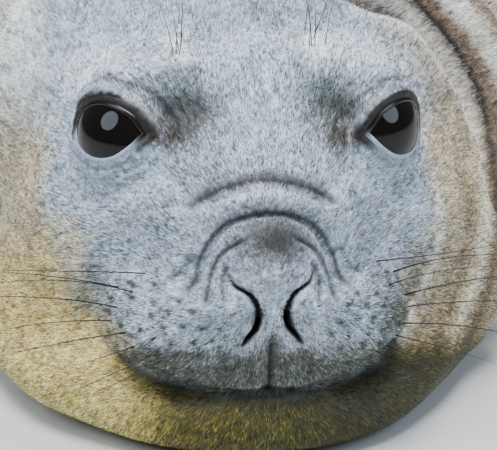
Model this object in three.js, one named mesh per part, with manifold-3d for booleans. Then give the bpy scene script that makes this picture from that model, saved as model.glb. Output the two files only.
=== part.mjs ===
// A young elephant seal resting on its belly, head on the ground and its body trailing to its left.
// Millimetres, +Z up. The head faces -Y, the seal's left side is +X, and the ground is z = 0.
// The whole body is one smooth union of ellipsoids, found along rays from the spine. Folds, lips
// and pads are pressed into that surface, and thin cuts part it into the named lengths.
import * as THREE from "three";
import { mergeVertices } from "three/addons/utils/BufferGeometryUtils.js";
import Module from "manifold-3d";

const wasm = await Module();
wasm.setup();

// Driving dimensions
const GAP = 0.3; // between pieces that touch
const TAIL_TIP = 1500; // along the spine, from the nose
const HEAD_CENTRE = { y: 135, z: 95 }; // where the rays of the face start
const GROUND_BLEND = 14; // rounding where the belly meets the ground
const FACE_TILT = 20; // degrees: the face's features are drawn on a plane leaning back this much
const EYE = { x: 54.5, y: 95, z: 136, radius: 25, yaw: 38, pitch: 15, lid: 2.6, blend: 7 };
const FACE_CELLS = 44; // cells across the grid over the face
const FACE_CROWDING = 1.3; // above 1 the cells are smaller towards the nose
const CREASE_SOFTNESS = 4; // rounding of the creases in the skin, beside their cut lines
const RING_STEP = 50; // the widest step between rings along the body
const CUTS = [172, 330, 640, 1060, 1405]; // where the lengths part, from the nose
const LENGTHS = ["head", "neck", "chest", "belly", "hips", "tail"];

const radians = THREE.MathUtils.degToRad;
const degrees = THREE.MathUtils.radToDeg;
const clamp01 = (t) => Math.min(1, Math.max(0, t));
const smooth = (from, to, x) => {
  const t = clamp01((x - from) / (to - from));
  return t * t * (3 - 2 * t);
};
const bell = (x, width) => Math.exp(-((x / width) ** 2));

// The heading of the spine, in degrees from +Y towards +X, at distances from the nose
const HEADINGS = [
  [0, 0],
  [135, 0],
  [430, 30],
  [760, 38],
  [1150, 26],
  [1500, 8],
];
// The height of the spine, inside the body, at distances from the nose
const HEIGHTS = [
  [0, 95],
  [135, 95],
  [200, 100],
  [430, 135],
  [760, 145],
  [1070, 105],
  [1300, 62],
  [1500, 26],
];

function between(table, at) {
  let i = 1;
  while (i < table.length - 1 && at > table[i][0]) i++;
  const [a, va] = table[i - 1];
  const [b, vb] = table[i];
  return va + (vb - va) * smooth(a, b, at);
}

// A point of the spine with its heading, at a distance from the nose
const SPINE_STEP = 5;
const spinePlan = [[0, HEAD_CENTRE.y]];
for (let at = HEAD_CENTRE.y; at < TAIL_TIP + SPINE_STEP; at += SPINE_STEP) {
  const [x, y] = spinePlan[spinePlan.length - 1];
  const heading = radians(between(HEADINGS, at));
  spinePlan.push([x + Math.sin(heading) * SPINE_STEP, y + Math.cos(heading) * SPINE_STEP]);
}
function spine(at) {
  if (at <= HEAD_CENTRE.y) return { x: 0, y: at, z: between(HEIGHTS, at), heading: 0 };
  const step = Math.min((at - HEAD_CENTRE.y) / SPINE_STEP, spinePlan.length - 2);
  const i = Math.floor(step);
  const [xa, ya] = spinePlan[i];
  const [xb, yb] = spinePlan[i + 1];
  const t = step - i;
  return {
    x: xa + (xb - xa) * t,
    y: ya + (yb - ya) * t,
    z: between(HEIGHTS, at),
    heading: radians(between(HEADINGS, at)),
  };
}

// The masses of the head: centre, radii, and how softly each joins the rest. sides makes a mirrored pair
const HEAD_MASSES = [
  { name: "cranium", at: [0, 175, 114], radii: [103, 97, 88], blend: 26 },
  { name: "forehead", at: [0, 99, 122], radii: [60, 68, 45], pitch: -28, blend: 26 },
  { name: "muzzle", at: [0, 70, 81], radii: [53, 70, 49], pitch: -12, blend: 24 },
  { name: "nose", at: [0, 39, 98], radii: [28, 20, 31], blend: 16 },
  { name: "whisker_pad", at: [34, 53, 57], radii: [37, 38, 22], sides: true, blend: 16 },
  { name: "upper_lip", at: [0, 53, 38], radii: [46, 43, 19], blend: 12 },
  { name: "chin", at: [0, 64, 12], radii: [72, 56, 25], blend: 14 },
  { name: "cheek", at: [60, 136, 78], radii: [55, 70, 49], sides: true, blend: 26 },
  { name: "throat", at: [-6, 112, 18], radii: [112, 94, 35], blend: 20 },
  { name: "jowl", at: [60, 152, 34], radii: [70, 68, 48], sides: true, blend: 24 },
  { name: "side_roll", at: [86, 156, 56], radii: [54, 50, 56], blend: 30 },
  { name: "brow", at: [34, 102, 146], radii: [45, 21, 28], sides: true, blend: 18 },
];
// The masses along the spine: where, half width, half length, half height, height of the centre
const BODY_MASSES = [
  { name: "collar", from: 225, radii: [146, 95, 112], z: 98, blend: 30 },
  { name: "neck", from: 300, radii: [158, 150, 134], z: 122, blend: 50 },
  { name: "shoulders", from: 450, radii: [200, 190, 168], z: 148, blend: 60 },
  { name: "chest", from: 660, radii: [222, 240, 182], z: 158, blend: 60 },
  { name: "belly", from: 870, radii: [205, 250, 168], z: 144, blend: 60 },
  { name: "loin", from: 1070, radii: [158, 230, 130], z: 112, blend: 60 },
  { name: "hips", from: 1255, radii: [108, 180, 88], z: 78, blend: 50 },
  { name: "tail_root", from: 1385, radii: [60, 110, 48], z: 46, blend: 40 },
  { name: "tail", from: 1450, radii: [30, 62, 17], z: 24, blend: 24 },
];

function massAt(centre, radii, yaw, pitch, blend) {
  return {
    centre,
    radii,
    blend,
    cosYaw: Math.cos(yaw),
    sinYaw: Math.sin(yaw),
    cosPitch: Math.cos(pitch),
    sinPitch: Math.sin(pitch),
  };
}

const masses = [];
for (const m of HEAD_MASSES) {
  const pitch = radians(m.pitch ?? 0);
  masses.push(massAt(m.at, m.radii, 0, pitch, m.blend));
  if (m.sides) masses.push(massAt([-m.at[0], m.at[1], m.at[2]], m.radii, 0, pitch, m.blend));
}
for (const side of [-1, 1]) {
  const lid = EYE.radius + EYE.lid;
  masses.push(massAt([side * EYE.x, EYE.y, EYE.z], [lid, lid, lid], 0, 0, EYE.blend));
}
for (const m of BODY_MASSES) {
  const s = spine(m.from);
  masses.push(massAt([s.x, s.y, m.z], m.radii, s.heading, 0, m.blend));
}

// About how far a point is from an ellipsoid's surface, negative inside
function ellipsoidDistance(m, x, y, z) {
  const dx = x - m.centre[0];
  const dy = y - m.centre[1];
  const dz = z - m.centre[2];
  const across = dx * m.cosYaw - dy * m.sinYaw;
  const along = dx * m.sinYaw + dy * m.cosYaw;
  const back = along * m.cosPitch - dz * m.sinPitch;
  const up = along * m.sinPitch + dz * m.cosPitch;
  const [a, b, c] = m.radii;
  const near = Math.hypot(across / a, back / b, up / c);
  const slope = Math.hypot(across / (a * a), back / (b * b), up / (c * c));
  return slope < 1e-9 ? -Math.min(a, b, c) : (near * (near - 1)) / slope;
}
const join = (a, b, k) => {
  const h = Math.max(k - Math.abs(a - b), 0) / k;
  return Math.min(a, b) - (h * h * k) / 4;
};

// The body's distance field, flattened where it rests on the ground
function bodyDistance(x, y, z) {
  let d = 1e6;
  for (const m of masses) {
    d = join(d, ellipsoidDistance(m, x, y, z), m.blend);
  }
  return -join(-d, z, GROUND_BLEND);
}

const FARTHEST = 400;
const COARSE_STEPS = 40;
const FINE_STEPS = 16;
// The outermost point of the body along a ray
function surfacePoint(origin, direction) {
  const inside = (t) =>
    bodyDistance(origin[0] + direction[0] * t, origin[1] + direction[1] * t, origin[2] + direction[2] * t) < 0;
  let high = FARTHEST;
  let low = 0;
  for (let i = COARSE_STEPS - 1; i > 0; i--) {
    const t = (FARTHEST * i) / COARSE_STEPS;
    if (inside(t)) {
      low = t;
      break;
    }
    high = t;
  }
  for (let i = 0; i < FINE_STEPS; i++) {
    const t = (low + high) / 2;
    if (inside(t)) low = t;
    else high = t;
  }
  const t = (low + high) / 2;
  return origin.map((o, i) => o + direction[i] * t);
}

function surfaceNormal(p) {
  const e = 1.5;
  const n = [0, 1, 2].map((i) => {
    const a = [...p];
    const b = [...p];
    a[i] += e;
    b[i] -= e;
    return bodyDistance(...a) - bodyDistance(...b);
  });
  const length = Math.hypot(...n) || 1;
  return n.map((v) => v / length);
}

// Features of the face are lines on the leaning face plane: x across, and h up the plane
const faceSin = Math.sin(radians(FACE_TILT));
const faceCos = Math.cos(radians(FACE_TILT));
const facePlane = (p) => ({
  x: p[0],
  h: p[1] * faceSin + p[2] * faceCos,
  depth: p[1] * faceCos - p[2] * faceSin,
});

// points: the line. depth: how deep the skin is pressed in. above, below: how far that reaches on
// each side. cut, gape: depth and width of the line itself. both: a mirrored pair. open: it keeps its
// depth at its ends
const CREASES = [
  {
    name: "bridge_fold",
    points: [[-31, 126.5], [-17, 133], [0, 136], [17, 133], [31, 126.5]],
    depth: 5,
    above: 9,
    below: 4,
    cut: 3.5,
    gape: 2.2,
  },
  {
    name: "nose_arch",
    points: [
      [-37, 86.5], [-33, 92], [-31, 99.5], [-27, 108], [-20.5, 115.2], [-12, 119], [0, 120.7],
      [12, 119], [20.5, 115.2], [27, 108], [31, 99.5], [33, 92], [37, 86.5],
    ],
    depth: 3,
    above: 6,
    below: 4,
    cut: 3,
    gape: 1.8,
  },
  {
    name: "inner_arch",
    points: [[11, 109], [19.5, 104.6], [23.7, 100.5], [26.7, 93], [29, 85]],
    depth: 1,
    above: 3,
    below: 3,
    cut: 2.2,
    gape: 1.4,
    both: true,
  },
  {
    name: "philtrum",
    points: [[0, 62], [0, 50], [0, 37]],
    depth: 1.5,
    above: 3,
    below: 3,
    cut: 3.5,
    gape: 1.6,
    open: true,
  },
  {
    name: "pad_edge",
    points: [[74, 80], [71, 69], [64, 60.5], [52, 52], [42, 48.6], [28, 48.3], [13, 51.4], [4, 56]],
    depth: 2,
    above: 4,
    below: 3,
    cut: 1.4,
    gape: 1.4,
    both: true,
  },
  {
    name: "mouth",
    points: [
      [-76, 70], [-70, 60.5], [-57, 49], [-40, 41], [-20, 36.8], [0, 35.6],
      [20, 36.8], [40, 41], [57, 49], [70, 60.5], [76, 70],
    ],
    depth: 5,
    above: 4,
    below: 5,
    cut: 7,
    gape: 2.2,
  },
];
const NOSTRIL = {
  points: [
    [19.5, 93], [17.5, 88.5], [13, 85.5], [9.3, 82.5], [7, 77.5], [6.6, 72.5], [8.2, 67.5], [11.5, 63.5], [14, 60.3],
  ],
  half: 2.4,
  front: -60, // the slit runs between these depths behind the face plane
  back: -8,
};
// Soft rises and hollows: where on the face plane, reach along and across, turn in degrees, and lift
const SWELLS = [
  { name: "eye_hollow", at: [33, 174], size: [12, 9], turn: -35, lift: -5, both: true },
  { name: "brow_ridge", at: [62, 184], size: [22, 6], turn: -12, lift: 4, both: true },
  { name: "under_eye", at: [70, 137], size: [22, 6], turn: 8, lift: -3, both: true },
  { name: "cheek_rise", at: [52, 128], size: [18, 12], turn: 20, lift: 3, both: true },
  { name: "pad", at: [42, 72], size: [22, 17], turn: 14, lift: 5, both: true },
  { name: "pad_step", at: [77, 84], size: [6, 18], turn: 12, lift: -5, both: true },
  { name: "nose_ball", at: [0, 100], size: [17, 15], lift: 5 },
];
for (const crease of CREASES) {
  const curve = new THREE.SplineCurve(crease.points.map((p) => new THREE.Vector2(...p)));
  crease.line = curve.getPoints((crease.points.length - 1) * 6).map((p) => [p.x, p.y]);
}

// Distance from a point of the face plane to a line, with the share of the way along and the side
function toLine(points, x, h) {
  let best = { distance: Infinity, share: 0, side: 1, at: [0, 0] };
  const last = points.length - 1;
  for (let i = 0; i < last; i++) {
    const [ax, ah] = points[i];
    const [bx, bh] = points[i + 1];
    const ux = bx - ax;
    const uh = bh - ah;
    const t = clamp01(((x - ax) * ux + (h - ah) * uh) / (ux * ux + uh * uh));
    const at = [ax + ux * t, ah + uh * t];
    const distance = Math.hypot(x - at[0], h - at[1]);
    if (distance < best.distance) {
      const side = ux * (h - ah) - uh * (x - ax) > 0 ? 1 : -1;
      best = { distance, share: (i + t) / last, side, at };
    }
  }
  return best;
}

function creaseDepth(crease, x, h) {
  const { distance, share, side } = toLine(crease.line, x, h);
  const width = side > 0 ? crease.above : crease.below;
  const fade = crease.open ? 1 : smooth(0, 0.16, share) * smooth(0, 0.16, 1 - share);
  const off = Math.hypot(distance, CREASE_SOFTNESS) - CREASE_SOFTNESS;
  return crease.depth * fade * Math.exp(-off / width);
}

function swellLift(swell, x, h) {
  const turn = radians(swell.turn ?? 0);
  const dx = x - swell.at[0];
  const dh = h - swell.at[1];
  const u = dx * Math.cos(turn) + dh * Math.sin(turn);
  const v = -dx * Math.sin(turn) + dh * Math.cos(turn);
  return swell.lift * bell(u, swell.size[0]) * bell(v, swell.size[1]);
}

// How far the face stands out from the plain masses at a point, negative where it is pressed in
function faceRelief(p) {
  const { x, h, depth } = facePlane(p);
  const facing = 1 - smooth(110, 150, depth);
  if (facing === 0) return 0;
  let relief = 0;
  for (const crease of CREASES) {
    relief -= creaseDepth(crease, crease.both ? Math.abs(x) : x, h);
  }
  for (const swell of SWELLS) {
    relief += swellLift(swell, swell.both ? Math.abs(x) : x, h);
  }
  return relief * facing;
}

// Folds of the neck. line: how far back each runs at a turn, where 0 is the seal's left and 90 the top.
// Each is deepest at its turn and fades over its spread
const FOLDS = [
  {
    name: "collar_fold",
    line: [[-60, 150], [-20, 132], [-5, 129], [9, 145], [22, 149], [38, 147], [56, 141], [90, 139], [180, 150]],
    turn: 32,
    spread: 58,
    depth: 18,
    before: 8,
    behind: 15,
  },
  {
    name: "second_fold",
    line: [[-60, 196], [22, 204], [56, 198], [180, 205]],
    turn: 30,
    spread: 60,
    depth: 9,
    before: 12,
    behind: 14,
  },
];
const HALF_TURN = 180;
function foldRelief(back, turn) {
  let relief = 0;
  for (const fold of FOLDS) {
    const off = ((turn - fold.turn + 3 * HALF_TURN) % (2 * HALF_TURN)) - HALF_TURN;
    const past = back - between(fold.line, turn);
    const along = Math.abs(past) / (past < 0 ? fold.before : fold.behind);
    relief -= fold.depth * bell(off, fold.spread) * Math.exp(-Math.pow(along, 1.3));
  }
  return relief;
}

// A point of the skin on the ray from an origin, pushed in or out by the relief
function skinPoint(origin, direction, turn, grow) {
  const p = surfacePoint(origin, direction);
  const n = surfaceNormal(p);
  const lift = faceRelief(p) + foldRelief(p[1], turn) + grow;
  const q = p.map((v, i) => v + n[i] * lift);
  q[2] = Math.max(q[2], -grow);
  return q;
}

// The grid over the face: a square bent over the half sphere in front of the head's centre
function gridPlace(i, j) {
  const a = (2 * i) / FACE_CELLS - 1;
  const b = (2 * j) / FACE_CELLS - 1;
  const u = a * Math.sqrt(1 - (b * b) / 2);
  const v = b * Math.sqrt(1 - (a * a) / 2);
  const out = Math.min(1, Math.hypot(u, v));
  return { polar: (Math.PI / 2) * Math.pow(out, FACE_CROWDING), turn: Math.atan2(v, u) };
}
function faceGrid(grow) {
  const origin = [0, HEAD_CENTRE.y, HEAD_CENTRE.z];
  const rows = [];
  for (let j = 0; j <= FACE_CELLS; j++) {
    const row = [];
    for (let i = 0; i <= FACE_CELLS; i++) {
      const { polar, turn } = gridPlace(i, j);
      const direction = [Math.sin(polar) * Math.cos(turn), -Math.cos(polar), Math.sin(polar) * Math.sin(turn)];
      row.push(skinPoint(origin, direction, degrees(turn), grow));
    }
    rows.push(row);
  }
  return rows;
}

// The edge of the square grid, in order round the neck
function gridEdge() {
  const edge = [];
  const n = FACE_CELLS;
  for (let i = 0; i < n; i++) edge.push([i, 0]);
  for (let j = 0; j < n; j++) edge.push([n, j]);
  for (let i = n; i > 0; i--) edge.push([i, n]);
  for (let j = n; j > 0; j--) edge.push([0, j]);
  return edge;
}

// Where the rings stand along the spine, closer behind the face, and how many corners each has
const LAST_RING = TAIL_TIP - 30;
function ringStations() {
  const stations = [];
  let at = HEAD_CENTRE.y;
  while (at < LAST_RING) {
    at += Math.min(RING_STEP, 7 + (at - HEAD_CENTRE.y) * 0.12);
    stations.push(Math.min(at, LAST_RING));
  }
  return stations;
}
const ringCount = (at) => (at < 148 ? 4 * FACE_CELLS : at < 200 ? 2 * FACE_CELLS : FACE_CELLS);

// The faces between one ring and the next, which has as many corners or half as many
function bridge(ring, next, faces) {
  const n = next.length;
  for (let i = 0; i < n; i++) {
    const k = (i + 1) % n;
    if (ring.length === n) {
      faces.push([ring[k].index, ring[i].index, next[i].index], [ring[k].index, next[i].index, next[k].index]);
    } else {
      const a = ring[2 * i].index;
      const b = ring[2 * i + 1].index;
      const c = ring[(2 * i + 2) % ring.length].index;
      faces.push([b, a, next[i].index], [b, next[i].index, next[k].index], [c, b, next[k].index]);
    }
  }
}

// The whole skin as one closed surface, from the nose to the tip of the tail
const TIP_RINGS = 4;
function wholeBody(grow) {
  const points = [];
  const faces = [];
  const add = (p) => points.push(p) - 1;
  const grid = faceGrid(grow).map((row) => row.map(add));
  for (let j = 0; j < FACE_CELLS; j++) {
    for (let i = 0; i < FACE_CELLS; i++) {
      const [a, b, c, d] = [grid[j][i], grid[j][i + 1], grid[j + 1][i + 1], grid[j + 1][i]];
      faces.push([a, b, c], [a, c, d]);
    }
  }
  let ring = gridEdge().map(([i, j]) => ({ index: grid[j][i], turn: gridPlace(i, j).turn }));
  // swing turns the rays from sideways to straight back, to close the tip of the tail
  const ringAt = (at, turns, swing) => {
    const s = spine(at);
    return turns.map((turn) => {
      const across = Math.cos(turn) * Math.cos(swing);
      const back = Math.sin(swing);
      const direction = [
        across * Math.cos(s.heading) + back * Math.sin(s.heading),
        -across * Math.sin(s.heading) + back * Math.cos(s.heading),
        Math.sin(turn) * Math.cos(swing),
      ];
      return { index: add(skinPoint([s.x, s.y, s.z], direction, degrees(turn), grow)), turn };
    });
  };
  for (const at of ringStations()) {
    const fewer = ring.length > ringCount(at);
    const turns = ring.map((r) => r.turn).filter((_, i) => !fewer || i % 2 === 0);
    const next = ringAt(at, turns, 0);
    bridge(ring, next, faces);
    ring = next;
  }
  for (let step = 1; step < TIP_RINGS; step++) {
    const turns = ring.map((r) => r.turn);
    const next = ringAt(LAST_RING, turns, (step / TIP_RINGS) * (Math.PI / 2));
    bridge(ring, next, faces);
    ring = next;
  }
  const [tip] = ringAt(LAST_RING, [0], Math.PI / 2);
  ring.forEach((r, i) => faces.push([r.index, tip.index, ring[(i + 1) % ring.length].index]));
  return solid(points, faces);
}

function solid(points, faces) {
  const made = new wasm.Manifold(
    new wasm.Mesh({
      numProp: 3,
      vertProperties: new Float32Array(points.flat()),
      triVerts: new Uint32Array(faces.flat()),
    }),
  );
  return made;
}

// A three.js geometry as a solid
function solidOf(geometry) {
  const bare = geometry.clone();
  for (const name of Object.keys(bare.attributes)) {
    if (name !== "position") bare.deleteAttribute(name);
  }
  const merged = mergeVertices(bare, 1e-4);
  return new wasm.Manifold(
    new wasm.Mesh({
      numProp: 3,
      vertProperties: new Float32Array(merged.attributes.position.array),
      triVerts: new Uint32Array(merged.index.array),
    }),
  );
}

function pieces(made) {
  return made.decompose().sort((a, b) => b.volume() - a.volume());
}
const largest = (made) => pieces(made)[0];

// A frame from three axes and an origin
function placed(geometry, x, y, z, origin) {
  const frame = new THREE.Matrix4().makeBasis(x, y, z).setPosition(origin);
  return geometry.clone().applyMatrix4(frame);
}

// Eyes: a ball in a socket, behind an opening cut along the way it looks.
// The opening is drawn for the left eye: u away from the nose, v up
const OPENING = [
  [-24, -1], [-18, 6.5], [-10, 12], [0, 14], [10, 12.5], [17, 7.5],
  [20.5, 0.5], [16, -7.5], [8, -12.5], [-2, -14], [-12, -11], [-19, -5.5],
];
const BALL = new THREE.SphereGeometry(EYE.radius, 22, 12);
const OPENING_REACH = 45;
function eyeFrame(side) {
  const yaw = radians(EYE.yaw);
  const pitch = radians(EYE.pitch);
  const look = new THREE.Vector3(
    side * Math.sin(yaw) * Math.cos(pitch),
    -Math.cos(yaw) * Math.cos(pitch),
    Math.sin(pitch),
  );
  const right = new THREE.Vector3(Math.cos(yaw), side * Math.sin(yaw), 0);
  const up = new THREE.Vector3().crossVectors(look, right);
  return { look, right, up, centre: new THREE.Vector3(side * EYE.x, EYE.y, EYE.z) };
}
function eyeBall(side, grow) {
  const { look, right, up, centre } = eyeFrame(side);
  const scale = (EYE.radius + grow) / EYE.radius;
  return solidOf(placed(BALL.clone().scale(scale, scale, scale), right, up, look, centre));
}
function eyeOpening(side) {
  const { look, right, up, centre } = eyeFrame(side);
  const loop = new THREE.SplineCurve([...OPENING, OPENING[0]].map(([u, v]) => new THREE.Vector2(u * side, v)));
  const outline = loop.getPoints(OPENING.length * 3).slice(0, -1);
  const shape = new THREE.Shape(side > 0 ? outline.reverse() : outline);
  const prism = new THREE.ExtrudeGeometry(shape, { depth: OPENING_REACH, bevelEnabled: false });
  return solidOf(placed(prism.translate(0, 0, 3), right, up, look, centre));
}

// A nostril: a curved slit cut through the skin of the nose
function nostril(side) {
  const curve = new THREE.SplineCurve(NOSTRIL.points.map(([x, h]) => new THREE.Vector2(x * side, h)));
  const steps = 20;
  const edge = (sign) =>
    Array.from({ length: steps + 1 }, (_, i) => {
      const t = i / steps;
      const half = NOSTRIL.half * Math.sqrt(Math.sin(Math.PI * (0.04 + 0.92 * t)));
      const p = curve.getPoint(t);
      const along = curve.getTangent(t);
      return new THREE.Vector2(p.x - along.y * half * sign, p.y + along.x * half * sign);
    });
  const outline = [...edge(1), ...edge(-1).reverse()];
  const shape = new THREE.Shape(outline);
  const slit = new THREE.ExtrudeGeometry(shape, { depth: NOSTRIL.back - NOSTRIL.front, bevelEnabled: false });
  slit.translate(0, 0, -NOSTRIL.back);
  const right = new THREE.Vector3(1, 0, 0);
  const up = new THREE.Vector3(0, faceSin, faceCos);
  const forward = new THREE.Vector3(0, -faceCos, faceSin);
  return solidOf(placed(slit, right, up, forward, new THREE.Vector3()));
}

// The line of a crease, cut into the skin as a wedge that follows the surface
const GROOVE_START = 60; // behind the face plane, inside the head
const GROOVE_TOP = 5; // the wedge stands out this far
const GROOVE_EVERY = 6; // points of the smoothed line between its corners
function groove(crease, sign) {
  const forward = [0, -faceCos, faceSin];
  const samples = crease.line
    .filter((_, i) => i % GROOVE_EVERY === 0)
    .map(([x, h]) => {
      const y = h * faceSin + GROOVE_START * faceCos;
      const z = h * faceCos - GROOVE_START * faceSin;
      const p = skinPoint([x * sign, y, z], forward, 90, 0);
      return { p: new THREE.Vector3(...p), n: new THREE.Vector3(...surfaceNormal(p)) };
    });
  const last = samples.length - 1;
  const points = [];
  samples.forEach(({ p, n }, i) => {
    const along = samples[Math.min(last, i + 1)].p.clone().sub(samples[Math.max(0, i - 1)].p).normalize();
    const aside = new THREE.Vector3().crossVectors(n, along).normalize();
    const share = i / last;
    const taper = crease.open ? 1 : 0.12 + 0.88 * Math.sqrt(Math.sin(Math.PI * (0.01 + 0.98 * share)));
    const deep = crease.cut * taper;
    const slope = (crease.gape * taper) / 2 / deep;
    for (const [height, half] of [[GROOVE_TOP, slope * (deep + GROOVE_TOP)], [-deep, 0.12]]) {
      for (const way of height > 0 ? [-1, 1] : [1, -1]) {
        const q = p.clone().addScaledVector(n, height).addScaledVector(aside, half * way);
        points.push([q.x, q.y, q.z]);
      }
    }
  });
  const faces = [];
  for (let i = 0; i < last; i++) {
    for (let k = 0; k < 4; k++) {
      const m = (k + 1) % 4;
      const [a, b] = [4 * i + k, 4 * i + m];
      faces.push([a, a + 4, b + 4], [a, b + 4, b]);
    }
  }
  const end = 4 * last;
  faces.push([0, 1, 2], [0, 2, 3], [end, end + 2, end + 1], [end, end + 3, end + 2]);
  const made = solid(points, faces);
  return made.volume() < 0 ? solid(points, faces.map(([a, b, c]) => [a, c, b])) : made;
}

// A flipper: a thick curved fin. place(s, c) gives its middle surface, s from 0 inside the body to 1
// at the ends of the digits, c from -1 at the leading edge to 1
function fin(place, thickness, rows, columns) {
  const top = [];
  const under = [];
  const points = [];
  const add = (p) => points.push([p.x, p.y, p.z]) - 1;
  for (let i = 0; i <= rows; i++) {
    top.push([]);
    under.push([]);
    for (let j = 0; j <= columns; j++) {
      const s = i / rows;
      const c = -Math.cos((Math.PI * j) / columns);
      const middle = place(s, c);
      const e = 1e-3;
      const along = place(s + e, c).sub(place(s - e, c));
      const across = place(s, Math.min(1, c + e)).sub(place(s, Math.max(-1, c - e)));
      const normal = new THREE.Vector3().crossVectors(along, across).normalize();
      if (normal.z < 0) normal.negate();
      const half = thickness(s, c) / 2;
      const edge = i === rows || j === 0 || j === columns;
      const high = add(middle.clone().addScaledVector(normal, edge ? 0 : half));
      top[i].push(high);
      under[i].push(edge ? high : add(middle.clone().addScaledVector(normal, -half)));
    }
  }
  const faces = [];
  for (let i = 0; i < rows; i++) {
    for (let j = 0; j < columns; j++) {
      const [a, b, c, d] = [top[i][j], top[i][j + 1], top[i + 1][j + 1], top[i + 1][j]];
      const [p, q, r, t] = [under[i][j], under[i][j + 1], under[i + 1][j + 1], under[i + 1][j]];
      faces.push([a, b, c], [a, c, d], [p, r, q], [p, t, r]);
    }
  }
  for (let j = 0; j < columns; j++) {
    faces.push([top[0][j], under[0][j], under[0][j + 1]], [top[0][j], under[0][j + 1], top[0][j + 1]]);
  }
  const proper = faces.filter(([a, b, c]) => a !== b && b !== c && a !== c);
  const made = solid(points, proper);
  return made.volume() < 0 ? solid(points, proper.map(([a, b, c]) => [a, c, b])) : made;
}

// A frame beside the spine: out is away from the body on a side, back runs along it
function beside(at, side) {
  const s = spine(at);
  const out = new THREE.Vector3(Math.cos(s.heading), -Math.sin(s.heading), 0).multiplyScalar(side);
  const back = new THREE.Vector3(Math.sin(s.heading), Math.cos(s.heading), 0);
  return { out, back, origin: new THREE.Vector3(s.x, s.y, 0) };
}
const DIGITS = 5;
const digitRidge = (c) => Math.cos(Math.PI * DIGITS * (c + 1)); // 1 between digits, -1 on each
const roundEdge = (c) => Math.sqrt(Math.max(0, 1 - Math.pow(Math.abs(c), 2.6)));

const FORE = {
  at: 500, // along the spine, from the nose
  inset: 138, // the root's distance from the spine
  length: 300, // of which about a quarter is inside the body
  width: 104,
  splay: 40, // degrees out from the spine
  root: 92, // height of the root
  thick: [44, 15],
  lift: 8.5, // height of the middle surface where it lies on the ground
};
function forePlace(side) {
  const { out, back, origin } = beside(FORE.at, side);
  return (s, c) => {
    const splay = radians(FORE.splay) * (1 - 0.45 * s);
    const way = back.clone().multiplyScalar(Math.cos(splay)).addScaledVector(out, Math.sin(splay));
    const wide = back.clone().multiplyScalar(Math.sin(splay)).addScaledVector(out, -Math.cos(splay));
    const half = FORE.width * (0.4 + 0.1 * Math.sin(Math.PI * Math.min(1, s * 1.15)));
    const oblique = 1 - 0.17 * smooth(-1, 1, c) * s - 0.03 * (0.5 + 0.5 * digitRidge(c)) * smooth(0.7, 1, s);
    const round = 1 - 0.1 * Math.pow(Math.abs(c), 4) * s;
    const drop = smooth(0, 0.62, s);
    const tilt = radians(48) * (1 - drop);
    const p = origin.clone().addScaledVector(out, FORE.inset);
    p.addScaledVector(way, s * FORE.length * oblique * round);
    p.addScaledVector(wide, c * half * Math.cos(tilt));
    p.z = FORE.root + (FORE.lift - FORE.root) * drop - c * half * Math.sin(tilt) * 0.6;
    return p;
  };
}
const foreThickness = (s, c) => {
  const whole = FORE.thick[0] + (FORE.thick[1] - FORE.thick[0]) * smooth(0.1, 0.75, s);
  const ridges = 1 - 0.14 * (0.5 + 0.5 * digitRidge(c)) * smooth(0.45, 0.8, s);
  return whole * roundEdge(c) * ridges * (1 - 0.35 * smooth(0.85, 1, s));
};

const HIND = {
  at: 1392,
  inset: 30,
  length: 330,
  splay: 15,
  half: [34, 88], // half the width at the root and across the spread digits
  root: 38,
  thick: [40, 10],
  lift: 7,
};
function hindPlace(side) {
  const { out, back, origin } = beside(HIND.at, side);
  return (s, c) => {
    const splay = radians(HIND.splay);
    const way = back.clone().multiplyScalar(Math.cos(splay)).addScaledVector(out, Math.sin(splay));
    const wide = back.clone().multiplyScalar(-Math.sin(splay)).addScaledVector(out, Math.cos(splay));
    const half = HIND.half[0] + (HIND.half[1] - HIND.half[0]) * smooth(0.3, 1, s);
    const fork = 1 - 0.2 * (1 - Math.pow(Math.abs(c), 1.6)) * smooth(0.35, 1, s);
    const scallop = 1 - 0.045 * (0.5 + 0.5 * digitRidge(c)) * smooth(0.6, 1, s) * (1 - Math.pow(c, 8));
    const p = origin.clone().addScaledVector(out, HIND.inset);
    p.addScaledVector(way, s * HIND.length * fork * scallop);
    p.addScaledVector(wide, c * half);
    p.z = HIND.root + (HIND.lift - HIND.root) * smooth(0, 0.6, s);
    return p;
  };
}
const hindThickness = (s, c) => {
  const whole = HIND.thick[0] + (HIND.thick[1] - HIND.thick[0]) * smooth(0.05, 0.6, s);
  const ridges = 1 - 0.3 * (0.5 + 0.5 * digitRidge(c)) * smooth(0.4, 0.7, s);
  return whole * roundEdge(c) * ridges * (1 - 0.3 * smooth(0.85, 1, s));
};

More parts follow.
